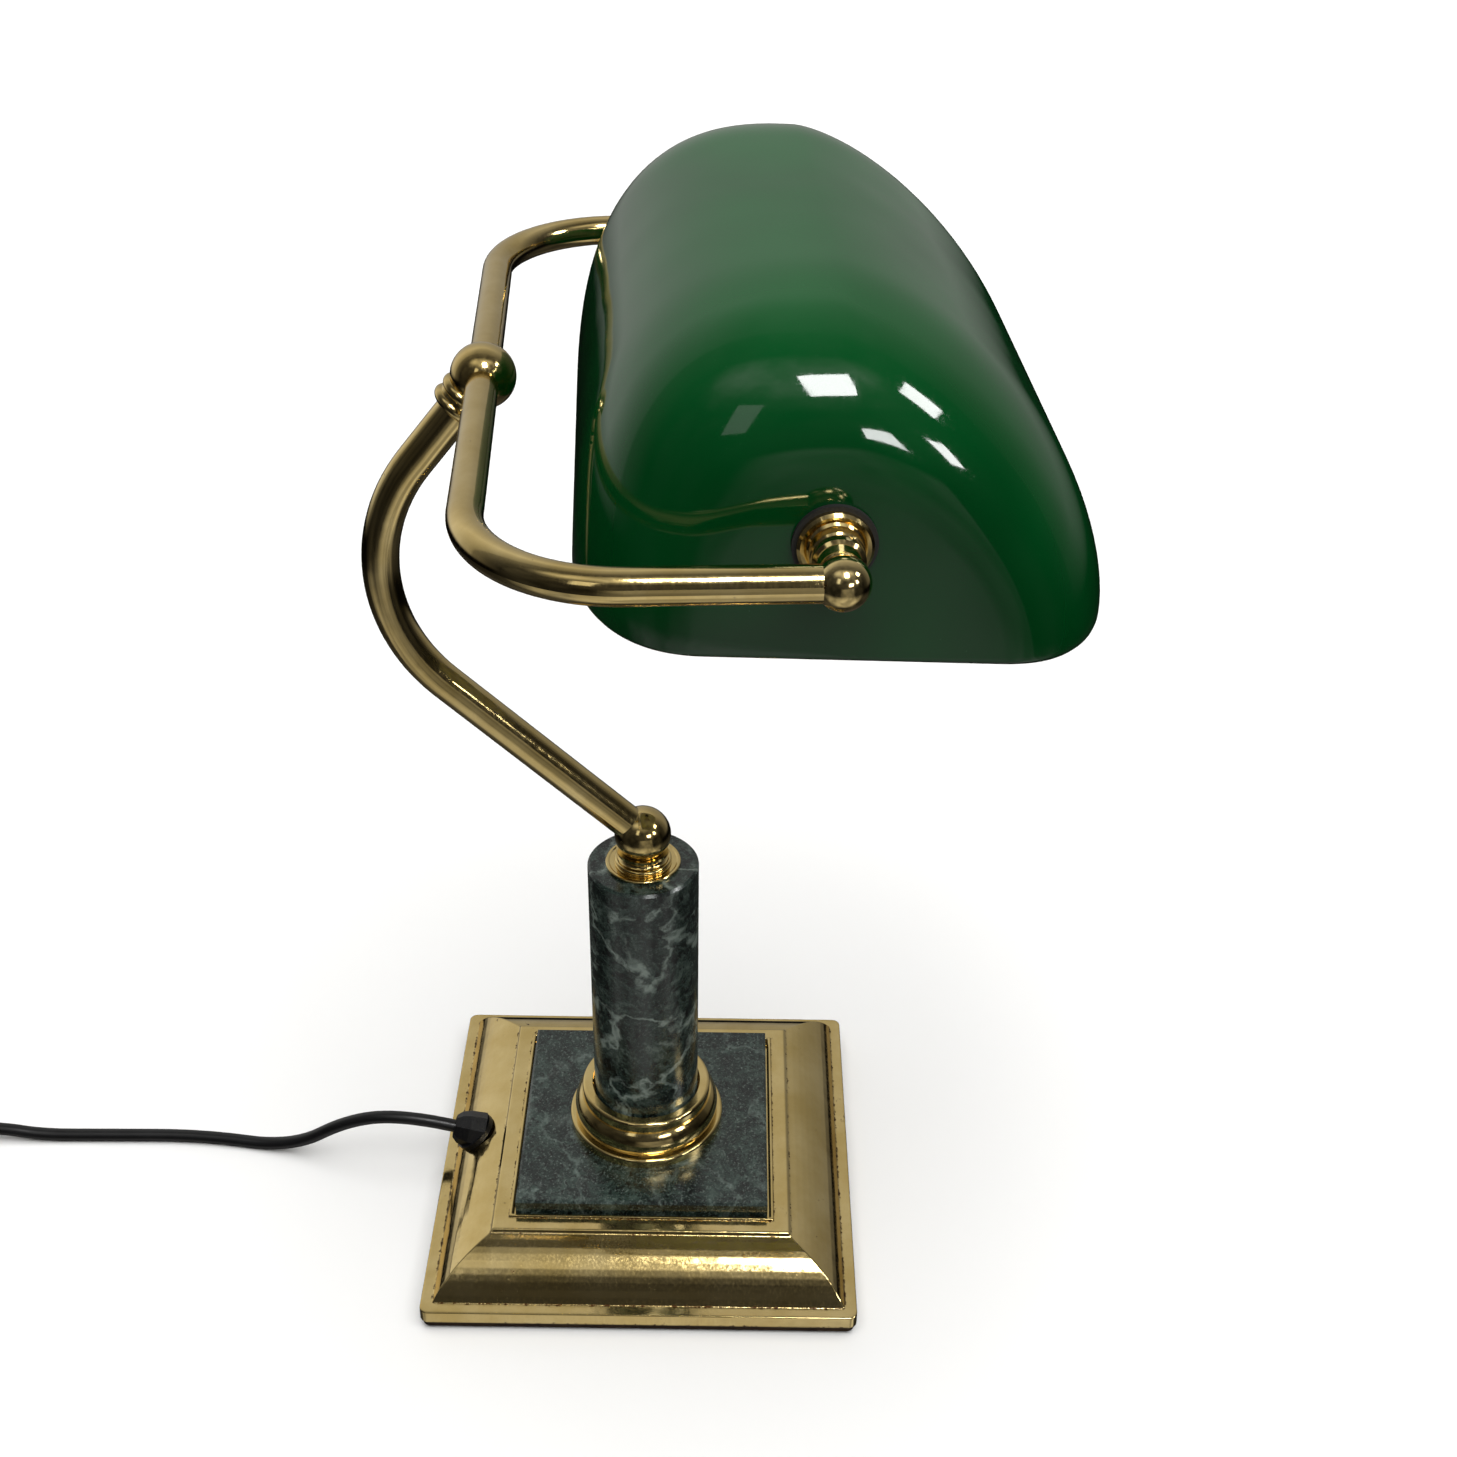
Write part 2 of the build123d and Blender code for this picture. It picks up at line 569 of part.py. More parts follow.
def end_spool(side):
    """The turned neck between an end ball and its cup washer."""
    start = CUP_OUTER + FACE_GAP
    foot = YOKE_HALF - 0.86 * END_BALL_R
    length = foot - start
    outline = [(STUD_R, 0), (6.6, 0), (7.2, 0.5), (7.2, 0.34 * length), (6.7, 0.38 * length),
               (7.0, 0.44 * length), (7.0, 0.66 * length), (6.1, 0.72 * length), (5.6, length),
               (STUD_R, length)]
    return turned_piece(outline, Vector(side * start, AXIS[1], AXIS[2]), Vector(side, 0, 0))


def end_stud(side):
    tail = HOLDER_BACK - 8 if side > 0 else STUD_END
    start = Vector(side * tail, AXIS[1], AXIS[2])
    return ring_between(start, Vector(side, 0, 0), YOKE_HALF - STUD_START - tail, STUD_R, STUD_BORE_R)


def yoke():
    keep("upper_ball", upper_ball(), turned=True)
    depth = BALL_FLAT + FACE_GAP + WEB
    keep("yoke_stem", swivel_stem(UPPER, ARRIVES, depth + STEM_END), turned=True)
    keep("yoke_clip", stem_clip(UPPER, ARRIVES, depth), turned=True)
    for side, name in ((-1, "left"), (1, "right")):
        ball = Vector(side * YOKE_HALF, AXIS[1], AXIS[2])
        inward = Vector(-side, 0, 0)
        # the tube's end is coped round the stud that it meets inside the ball
        cope = rod_between(ball + inward * STUD_START, inward, END_BALL_R, STUD_R)
        keep("yoke_tube_" + name, tube_on(yoke_path(side), YOKE_R, YOKE_R - WALL) - cope, turned=True)
        keep("end_ball_" + name, end_ball(side), turned=True)
        keep("end_spool_" + name, end_spool(side), turned=True)
        keep("end_stud_" + name, end_stud(side), turned=True)
        nut = Vector(side * NUT_FACE, AXIS[1], AXIS[2])
        keep("stud_nuts", hex_nut(nut, Vector(-side, 0, 0), STUD_NUT_FLATS, STUD_NUT_H, STUD_R), turned=True)
    keep("lead_in_yoke", *lead_in_yoke(), turned=True)


def lead_in_yoke():
    """The lead from the ring collar through the ball and the right-hand tube to the lamp holder."""
    below = UPPER - ARRIVES * (RING_FAR + 1.5)
    first = lead([below, UPPER, UPPER + Vector(20, 0, 0)])
    corner = UPPER + Vector(YOKE_HALF, 0, 0)
    ball = Vector(YOKE_HALF, AXIS[1], AXIS[2])
    along_tube = FilletPolyline(UPPER + Vector(20, 0, 0), corner, ball + Vector(0, 20, 0), radius=YOKE_BEND)
    last = lead([ball + Vector(0, 20, 0), ball, Vector(HOLDER_BACK - 6, AXIS[1], AXIS[2])], bend=3.4)
    return first, tube_on(along_tube, LEAD_R), last


# ---- lamp holder and bulb, on the right-hand stud ----
def in_holder(distance):
    """A point on the holder's axis, this far in from its back wall."""
    return Vector(HOLDER_BACK - distance, AXIS[1], AXIS[2])


def lamp_holder():
    into = Vector(-1, 0, 0)
    cap_r = HOLDER_R - 1
    cap_in = cap_r - HOLDER_T
    cap = [(STUD_R, 0), (11, 0), (cap_r, 5), (cap_r, HOLDER_CAP_L), (cap_in, HOLDER_CAP_L), (cap_in, 6.5),
           (10, 3), (STUD_R, 3)]
    keep("holder_cap", turned_piece(cap, in_holder(0), into), turned=True)
    contact_r = STUD_BORE_R + 1
    insert_at = in_holder(HOLDER_CAP_L - 5.2)
    keep("holder_insert", ring_between(insert_at, into, 5, cap_in - 0.3, contact_r), turned=True)
    contact = ring_between(insert_at + into, into, 5.6, contact_r, 1.5)
    keep("holder_contact", contact, turned=True)
    shell_l = HOLDER_L - HOLDER_CAP_L
    shell_r = HOLDER_R - 0.8
    mouth_r = BULB_CAP_R + LINER_T + 1.2
    shell = [(mouth_r, 0), (HOLDER_R, 0), (HOLDER_R, 3), (shell_r, 3.6), (shell_r, shell_l - 2),
             (HOLDER_R - 2, shell_l), (mouth_r, shell_l)]
    keep("holder_shell", turned_piece(shell, in_holder(HOLDER_CAP_L), into), turned=True)
    liner_r = BULB_CAP_R + 0.2
    liner = ring_between(in_holder(HOLDER_CAP_L + 0.4), into, shell_l - 3, liner_r + LINER_T, liner_r)
    keep("holder_liner", liner, turned=True)


def bulb():
    into = Vector(-1, 0, 0)
    base_at = in_holder(HOLDER_CAP_L + 1.5)
    cap = [(0, 0), (4.5, 0), (5, 1.6), (BULB_CAP_R - 2.5, 2.6), (BULB_CAP_R, 5), (BULB_CAP_R, BULB_CAP_L),
           (BULB_CAP_R - 0.5, BULB_CAP_L), (BULB_CAP_R - 0.5, 6), (0, 4)]
    keep("bulb_cap", turned_piece(cap, base_at, into), turned=True)
    keep("bulb_glass", turned_piece(bulb_face(), base_at, into), turned=True)


def bulb_face():
    """The bulb's wall: a neck that flares into a ball, with its end in the cap."""
    thick = 0.8
    middle = BULB_L - BULB_R
    neck = BULB_CAP_R - 0.7
    join = middle - 24.0

    def line(skin):
        r = BULB_R - skin
        reach = math.sqrt(r ** 2 - (middle - join) ** 2)
        return neck - skin, join, reach, r

    neck_o, join_z, reach_o, r_o = line(0)
    neck_i, _, reach_i, r_i = line(thick)
    flare_tan = (join_z - middle) / reach_o
    low = 7.0
    face = make_face([
        Line((neck_i, low), (neck_o, low)),
        Line((neck_o, low), (neck_o, BULB_CAP_L + 2)),
        Spline((neck_o, BULB_CAP_L + 2), (reach_o, join_z), tangents=[(0, 1), (-flare_tan, 1)]),
        ThreePointArc((reach_o, join_z), (r_o, middle), (0, middle + r_o)),
        Line((0, middle + r_o), (0, middle + r_i)),
        ThreePointArc((0, middle + r_i), (r_i, middle), (reach_i, join_z)),
        Spline((reach_i, join_z), (neck_i, BULB_CAP_L + 2), tangents=[(flare_tan, -1), (0, -1)]),
        Line((neck_i, BULB_CAP_L + 2), (neck_i, low)),
    ])
    return face


# ---- shade ----
def section_wire(size, skin, x):
    """The glass's section at x, at a share of its size: two superellipse quarters that meet at the crest."""
    half = GLASS_W / 2 - skin
    high = (GLASS_H - skin) * size
    ends = (half - GLASS_CREST, half + GLASS_CREST)
    points = []
    steps = 9
    for side, powers, span in ((1, BACK_POWERS, ends[0]), (-1, FRONT_POWERS, ends[1])):
        quarter = []
        for k in range(steps):
            angle = math.pi / 2 * k / (steps - 1)
            y = side * span * math.cos(angle) ** (2 / powers[0]) + GLASS_CREST
            quarter.append((y * size, high * math.sin(angle) ** (2 / powers[1])))
        points += quarter if side > 0 else quarter[-2::-1]
    place = Plane(origin=(x, 0, 0), x_dir=(0, 1, 0), z_dir=(1, 0, 0))
    arch = Spline(*points, tangents=[(0, 1), (0, -1)])
    return place * Wire([arch, Line(points[-1], points[0])])


def glass_form(skin):
    """The glass's outer form, or its inside when skin is its thickness. The rim is at z = 0."""
    end = GLASS_L / 2 - skin
    straight = end - END_DEPTH
    form = extrude(make_face(section_wire(1, skin, -straight)), 2 * straight, dir=(1, 0, 0))
    turns = [math.pi / 2 * k / 8 for k in range(8, -1, -1)]
    for side in (-1, 1):
        wires = []
        for turn in turns:
            share = END_FLAT + (1 - END_FLAT) * math.sin(turn) ** (2 / END_POWER)
            x = straight + END_DEPTH * math.cos(turn) ** (2 / END_POWER)
            wires.append(section_wire(share, skin, side * x))
        form += Solid.make_loft(wires)
    return form


def glass_shade():
    shell = glass_form(0) - glass_form(GLASS_T)
    lowest = Pos(0, 0, -5) * Box(2 * GLASS_L, 2 * GLASS_W, 10)
    shell -= lowest
    hole = Pos(0, AXIS_BACK, AXIS_UP) * Rot(0, 90, 0) * Cylinder(GLASS_HOLE_R, 2 * GLASS_L)
    shell -= hole
    return Pos(*AXIS) * Rot(SHADE_LEAN, 0, 0) * Pos(0, -AXIS_BACK, -AXIS_UP) * shell


def shade():
    keep("glass_shade", glass_shade(), turned=True)
    bore = STUD_R + RUN_GAP
    for side in (-1, 1):
        out = Vector(side, 0, 0)

        def at(x):
            return Vector(side * x, AXIS[1], AXIS[2])

        face = GLASS_END
        keep("outer_gaskets", ring_between(at(face), out, GASKET_T, GASKET_R, STUD_R + 0.4), turned=True)
        cup = [(bore, 0), (CUP_R, 0), (CUP_R, CUP_T - 1.0), (CUP_R - 0.8, CUP_T - 0.3),
               (CUP_R - 1.8, CUP_T - 0.5), (7.6, CUP_T - 0.7), (7.0, CUP_T), (bore, CUP_T)]
        keep("cup_washers", turned_piece(cup, at(face + GASKET_T), out), turned=True)
        inner = face - GLASS_T
        pad = ring_between(at(inner - GASKET_T), out, GASKET_T, INNER_GASKET_R, STUD_R + 0.4)
        keep("inner_gaskets", pad, turned=True)
        keep("inner_washers", ring_between(at(INNER_FACE), out, WASHER_T, INNER_WASHER_R, bore), turned=True)


# ---- cord, its bushing, switch, coil and plug ----
BUSHING_AT, BUSHING_OUT = slope_point()
HEAD_DIR = Vector(0, math.cos(math.radians(HEAD_RISE)), math.sin(math.radians(HEAD_RISE)))
HEAD_START = BUSHING_AT + BUSHING_OUT * BUSHING_FLANGE_T
CORD_EXIT = HEAD_START + HEAD_DIR * HEAD_L
TAIL_L = 7.0
TAIL_END = BUSHING_AT - BUSHING_OUT * (COVER_T + TAIL_L)


def sheath_in_base():
    """The cord's sheathed end, from the bushing's mouth down its bore and level to the terminal block."""
    level = PLATE_TOP + 0.5 + BLOCK_SIZE[2] / 2
    turn = BUSHING_AT - BUSHING_OUT * ((BUSHING_AT.Z - level) / BUSHING_OUT.Z)
    block_back = Vector(0, BLOCK_Y + BLOCK_SIZE[1] / 2 + 0.1, level)
    return lead([CORD_EXIT, HEAD_START, turn, block_back], radius=CORD_R, bend=6.0)


def cord_bushing():
    """A strain relief: a flange on the slope, a faceted head that points out, and a tail inside."""
    flange = rod_between(BUSHING_AT, BUSHING_OUT, BUSHING_FLANGE_T, BUSHING_FLANGE_R)
    tail = rod_between(TAIL_END, BUSHING_OUT, COVER_T + TAIL_L, BUSHING_NECK_R)
    back = along(HEAD_START - HEAD_DIR * 4, HEAD_DIR) * RegularPolygon(7.6, 8)
    wide = along(HEAD_START + HEAD_DIR * 2, HEAD_DIR) * RegularPolygon(7.2, 8)
    narrow = along(CORD_EXIT - HEAD_DIR * 2, HEAD_DIR) * RegularPolygon(6.2, 8)
    mouth = along(CORD_EXIT, HEAD_DIR) * RegularPolygon(4.4, 8)
    head = loft([back, wide], ruled=True)
    head += loft([wide, narrow], ruled=True)
    head += loft([narrow, mouth], ruled=True)
    under_slope = along(BUSHING_AT, -BUSHING_OUT) * extrude(Rectangle(40, 40), 20)
    return flange + tail + (head - under_slope) - sheath_in_base()


def lead_in_base():
    """The sheathed end, and the core that goes on from the terminal block up the rod."""
    front = BLOCK_Y - BLOCK_SIZE[1] / 2 - 0.1
    low = PLATE_TOP + LEAD_R + 0.5
    top = SPOOL_TOP - WEB - STEM_END - 0.5
    core = lead([Vector(0, front, low), Vector(0, 0, low), Vector(0, 0, top)], bend=5.0)
    return sheath_in_base(), core


FLOOR = CORD_R
SWITCH_LEVEL = 6.0      # height of the cord where it goes into the switch
SWITCH_X, SWITCH_Y = SWITCH_PLACE
SWITCH_IN = SWITCH_Y - SWITCH_SIZE[1] / 2
SWITCH_OUT = SWITCH_Y + SWITCH_SIZE[1] / 2
LAMP_CORD = [
    CORD_EXIT,
    CORD_EXIT + HEAD_DIR * 19.5,
    (2.5, 118.0, 23.5),
    (7.0, 144.0, FLOOR),
    (13.0, 181.0, FLOOR),
    (12.5, 220.0, FLOOR),
    (SWITCH_X, SWITCH_IN - 29, FLOOR),
    (SWITCH_X, SWITCH_IN - 13, SWITCH_LEVEL),
    (SWITCH_X, SWITCH_IN, SWITCH_LEVEL),
]
COIL_X, COIL_Y = COIL_PLACE
INTO_COIL = [
    (SWITCH_X, SWITCH_OUT, SWITCH_LEVEL),
    (SWITCH_X, SWITCH_OUT + 16, SWITCH_LEVEL),
    (SWITCH_X - 8.3, SWITCH_OUT + 31, 3.5),
    (SWITCH_X - 23, SWITCH_OUT + 38.5, FLOOR),
    (COIL_X + 21, COIL_Y + 35, FLOOR),
    (COIL_X + 4, COIL_Y + 32, FLOOR + 0.5),
]
PLUG_END = PLUG_PLACE[0] - PLUG_SIZE[0] / 2 - PLUG_TAIL
PLUG_MIDDLE = PLUG_SIZE[2] / 2
FROM_COIL = [
    (COIL_X - 26, COIL_Y + 14, FLOOR + 0.5),
    (PLUG_END - 37.5, PLUG_PLACE[1] + 44, FLOOR),
    (PLUG_END - 37.5, PLUG_PLACE[1] + 22, FLOOR),
    (PLUG_END - 29.5, PLUG_PLACE[1] + 8, 4.5),
    (PLUG_END - 16.0, PLUG_PLACE[1], PLUG_MIDDLE),
    (PLUG_END, PLUG_PLACE[1], PLUG_MIDDLE),
]


def coil_solid():
    section = Pos(COIL_MEAN_R, COIL_TALL / 2) * RectangleRounded(COIL_THICK, COIL_TALL, 4.5)
    return Pos(*COIL_PLACE, 0) * revolve(Plane.XZ * section, Axis.Z)


def coil_tie():
    """A wire tie round the coil's bundle, on the side away from the lamp."""
    outer = extrude(RectangleRounded(COIL_THICK + 2.4, COIL_TALL + 1.2, 4.6), 4)
    inner = extrude(RectangleRounded(COIL_THICK + 0.2, COIL_TALL - 1.0, 3.6), 4)
    band = outer - inner
    plane = Plane(origin=(0, 0, 0), x_dir=(0, 1, 0), z_dir=(1, 0, 0))
    place = Pos(COIL_PLACE[0] - 2, COIL_PLACE[1] + COIL_MEAN_R, (COIL_TALL + 1.2) / 2)
    return place * (plane * band)


def switch_half(low, high, outer_end):
    """One half of the switch's case, rounded where it faces out: 0 for the lower half, -1 for the upper."""
    blank = Pos(*SWITCH_PLACE, low) * extrude(RectangleRounded(SWITCH_SIZE[0], SWITCH_SIZE[1], 7), high - low)
    return fillet(blank.edges().group_by(Axis.Z)[outer_end], 2.0)


def standing(radius, height):
    """A cylinder that stands on z = 0."""
    return extrude(Circle(radius), height)


def switch():
    wide, deep, tall = SWITCH_SIZE
    split = tall / 2
    room = Pos(*SWITCH_PLACE, 2) * extrude(RectangleRounded(wide - 4, deep - 14, 5), tall - 4)
    cable = Pos(*SWITCH_PLACE, SWITCH_LEVEL) * Rot(90, 0, 0) * Cylinder(CORD_R, deep + 2)
    window_size = (ROCKER_W + 0.8, ROCKER_L + 1.8)
    window = Pos(*SWITCH_PLACE, split) * extrude(RectangleRounded(*window_size, 1), tall)
    lower = switch_half(0, split, 0) - room - cable
    upper = switch_half(split, tall, -1) - room - window
    for side in (-1, 1):
        post = Pos(SWITCH_X + side * (wide / 2 - 5), SWITCH_Y + side * (deep / 2 - 6), 0)
        screw = post * standing(1.3, split + 4) + post * standing(2.4, 2)
        lower -= screw
        upper -= screw
        keep("switch_screws", screw)
        contact = Box(4, 9, 4) - Pos(0, 0, 1) * Box(1.4, 10, 2.2)
        keep("switch_contacts", Pos(SWITCH_X + side * 5, SWITCH_Y - side * 12, 4.2) * contact)
    keep("switch_base", lower)
    keep("switch_cover", upper)
    keep("switch_rocker", rocker())


def rocker():
    """A rocker with a dished top, turned to its off end. It pivots across the switch."""
    skirt = 3.0
    half = ROCKER_L / 2
    tip = 5.0
    dish = 2.0
    face = make_face([
        Line((-half + 0.6, -skirt), (half - 0.6, -skirt)),
        Line((half - 0.6, -skirt), (half - 0.3, tip)),
        ThreePointArc((half - 0.3, tip), (0, tip - dish), (-half + 0.3, tip)),
        Line((-half + 0.3, tip), (-half + 0.6, -skirt)),
    ])
    body = extrude(Plane.YZ * face, ROCKER_W / 2, both=True)
    return Pos(*SWITCH_PLACE, ROCKER_PIVOT_Z) * Rot(-SWITCH_THROW / 2, 0, 0) * body


def plug():
    long, wide, tall = PLUG_SIZE
    x, y = PLUG_PLACE
    body = Box(long, wide, tall)
    body = Pos(x, y, PLUG_MIDDLE) * fillet(body.edges().filter_by(Axis.Z), 4)
    sleeve = [(0, 0), (CORD_R + 0.9, 0), (5.5, PLUG_TAIL + 3), (0, PLUG_TAIL + 3)]
    body += turned_piece(sleeve, Vector(PLUG_END, y, PLUG_MIDDLE), Vector(1, 0, 0))
    for side in (-1, 1):
        start = Vector(x + long / 2 - 6, y + side * PIN_SPACING / 2, PLUG_MIDDLE)
        pin = rod_between(start, Vector(1, 0, 0), PIN_L + 6, PIN_R)
        body -= pin
        keep("plug_pins", chamfer(pin.faces().sort_by(Axis.X)[-1].edges(), 0.8))
    keep("plug_body", body)


def cord():
    keep("cord_bushing", cord_bushing())
    keep("lead_in_base", *lead_in_base())
    keep("lamp_cord", tube_on(soft_path(LAMP_CORD), CORD_R))
    keep("plug_cord", tube_on(soft_path(INTO_COIL), CORD_R))
    keep("plug_cord", tube_on(soft_path(FROM_COIL), CORD_R))
    keep("cord_coil", coil_solid())
    keep("coil_tie", coil_tie())
    switch()
    plug()


base()
marble()
column_fixings()
arm()
yoke()
lamp_holder()
bulb()
shade()
cord()

for name, solids in nodes.items():
    flat = [s for shape in solids for s in shape.solids()]
    export_step(flat[0] if len(flat) == 1 else Compound(children=flat), f"parts/{name}.step")
print(len(nodes), "nodes")
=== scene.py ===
"""Looks of a banker desk lamp: polished brass, green cased glass, green marble and a black mains cord.

Everything is in metres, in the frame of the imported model. Shapes are functions worked out as whole arrays.
"""

import json
import math

import bmesh
import bpy
import numpy as np
from mathutils import Matrix, Vector


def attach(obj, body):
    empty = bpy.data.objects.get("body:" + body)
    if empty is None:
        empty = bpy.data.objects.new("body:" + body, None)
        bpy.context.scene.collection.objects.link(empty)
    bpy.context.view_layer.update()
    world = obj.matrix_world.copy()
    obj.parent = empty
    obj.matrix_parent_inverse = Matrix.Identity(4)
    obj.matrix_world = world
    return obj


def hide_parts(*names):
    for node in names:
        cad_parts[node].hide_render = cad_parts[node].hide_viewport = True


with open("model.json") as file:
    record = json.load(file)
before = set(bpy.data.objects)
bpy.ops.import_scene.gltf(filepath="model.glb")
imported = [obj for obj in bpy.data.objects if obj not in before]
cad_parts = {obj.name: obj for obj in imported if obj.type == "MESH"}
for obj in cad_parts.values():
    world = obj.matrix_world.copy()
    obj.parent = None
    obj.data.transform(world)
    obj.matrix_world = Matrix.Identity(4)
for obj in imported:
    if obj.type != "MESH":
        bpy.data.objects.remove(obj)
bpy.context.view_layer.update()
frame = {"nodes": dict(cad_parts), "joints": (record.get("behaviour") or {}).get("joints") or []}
nodes = frame["nodes"]
joints = {joint["name"]: joint for joint in frame["joints"]}

MM = 0.001

# ---- sizes that the replaced pieces share with the frame, in millimetres ----
GLASS_L = 220.0
GLASS_W = 151.0
GLASS_H = 91.0
GLASS_T = 3.5
GLASS_CREST = 8.0           # the crest stands this far behind the middle of the rim
BACK_POWERS = (2.56, 2.68)
FRONT_POWERS = (1.52, 1.60)
END_FLAT = 0.53             # share of the full section that each flat end face has
END_DEPTH = 56.0
END_POWER = 2.3
AXIS_UP = 35.6              # the tilt axis over the rim's middle, and behind it
AXIS_BACK = 8.5
SHADE_LEAN = 2.8            # degrees
GLASS_HOLE_R = 5.6          # for the hollow stud at each end
CORD_R = 2.5
COIL_MIDDLE = (-50.0, 334.0)
COIL_MEAN_R = 28.5
COIL_TURNS = 7.19


# ---- small helpers ----
def linear(code):
    """An sRGB hex colour as linear RGBA."""
    parts = [int(code[i:i + 2], 16) / 255 for i in (1, 3, 5)]
    return [c / 12.92 if c <= 0.04045 else ((c + 0.055) / 1.055) ** 2.4 for c in parts] + [1.0]


def add(tree, kind, inputs=None, ramp=None, **settings):
    """Adds a node. settings are its properties, inputs its sockets' values or links, ramp its stops."""
    node = tree.nodes.new(kind)
    for name, value in settings.items():
        setattr(node, name, value)
    for key, value in (inputs or {}).items():
        if isinstance(value, bpy.types.NodeSocket):
            tree.links.new(value, node.inputs[key])
        else:
            node.inputs[key].default_value = value
    if ramp:
        stops = node.color_ramp.elements
        while len(stops) < len(ramp):
            stops.new(0.5)
        for stop, (place, colour) in zip(stops, ramp):
            stop.position = place
            stop.color = linear(colour) if isinstance(colour, str) else (colour, colour, colour, 1)
    return node


def surface_mesh(name, points, close_u=False, close_v=False):
    """A mesh of four-sided faces from a grid of points: points[i, j] is the place at two steps, in metres.

    close_u and close_v join the last row to the first, and the last column to the first."""
    rows, columns = points.shape[:2]
    index = np.arange(rows * columns).reshape(rows, columns)
    if close_u:
        index = np.vstack([index, index[:1]])
    if close_v:
        index = np.hstack([index, index[:, :1]])
    corners = [index[:-1, :-1], index[:-1, 1:], index[1:, 1:], index[1:, :-1]]
    quads = np.stack(corners, axis=-1).reshape(-1, 4)
    mesh = bpy.data.meshes.new(name)
    mesh.vertices.add(rows * columns)
    mesh.vertices.foreach_set("co", points.reshape(-1).astype(np.float32))
    mesh.loops.add(quads.size)
    mesh.loops.foreach_set("vertex_index", quads.reshape(-1).astype(np.int32))
    mesh.polygons.add(len(quads))
    mesh.polygons.foreach_set("loop_start", np.arange(0, quads.size, 4, dtype=np.int32))
    mesh.update(calc_edges=True)
    return mesh


def tidy_mesh(mesh, merge=1e-7):
    """Merges doubles, drops what they flatten, and turns the faces outwards."""
    work = bmesh.new()
    work.from_mesh(mesh)
    bmesh.ops.remove_doubles(work, verts=work.verts, dist=merge)
    bmesh.ops.dissolve_degenerate(work, edges=work.edges, dist=merge)
    bmesh.ops.recalc_face_normals(work, faces=work.faces)
    work.to_mesh(mesh)
    work.free()


def place(name, mesh, body, materials, slot, stands_for):
    """Links a finished mesh as a piece that rides on a body, in place of the plain pieces it stands for."""
    piece = bpy.data.objects.new(name, mesh)
    bpy.context.scene.collection.objects.link(piece)
    for material in materials:
        mesh.materials.append(material)
    mesh.shade_smooth()
    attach(piece, body)
    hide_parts(*stands_for)
    return piece


# ---- camera ----
def camera():
    """Looks down on the lamp from its left-hand end, square to the column and a little above the shade."""
    down, swing, roll = math.radians(33.552), math.radians(-0.153), math.radians(0.943)
    ahead = Vector((math.cos(down) * math.cos(swing), math.cos(down) * math.sin(swing), -math.sin(down)))
    right = ahead.cross(Vector((0, 0, 1))).normalized()
    up = right.cross(ahead)
    turned_right = right * math.cos(roll) + up * math.sin(roll)
    turned_up = up * math.cos(roll) - right * math.sin(roll)
    data = bpy.data.cameras.new("camera")
    data.sensor_width = 36.0
    data.lens = 46.61
    data.clip_start = 0.02
    data.clip_end = 60
    eye = bpy.data.objects.new("camera", data)
    bpy.context.scene.collection.objects.link(eye)
    turn = Matrix((turned_right, turned_up, -ahead)).transposed().to_4x4()
    eye.matrix_world = Matrix.Translation((-0.5339, -0.0282, 0.5676)) @ turn
    bpy.context.scene.camera = eye


# ---- materials ----
def new_material(name):
    material = bpy.data.materials.new(name)
    material.use_nodes = True
    tree = material.node_tree
    tree.nodes.clear()
    return material, tree


def millimetres(tree, scale=(1, 1, 1), turn=(0, 0, 0)):
    """Object coordinates in millimetres, stretched or turned for a pattern that runs one way."""
    where = add(tree, "ShaderNodeTexCoord")
    stretched = [1000 * s for s in scale]
    return add(tree, "ShaderNodeMapping", {"Vector": where.outputs["Object"], "Scale": stretched,
                                           "Rotation": turn}).outputs[0]


def finish_material(tree, shader):
    add(tree, "ShaderNodeOutputMaterial", {"Surface": shader.outputs[0]})


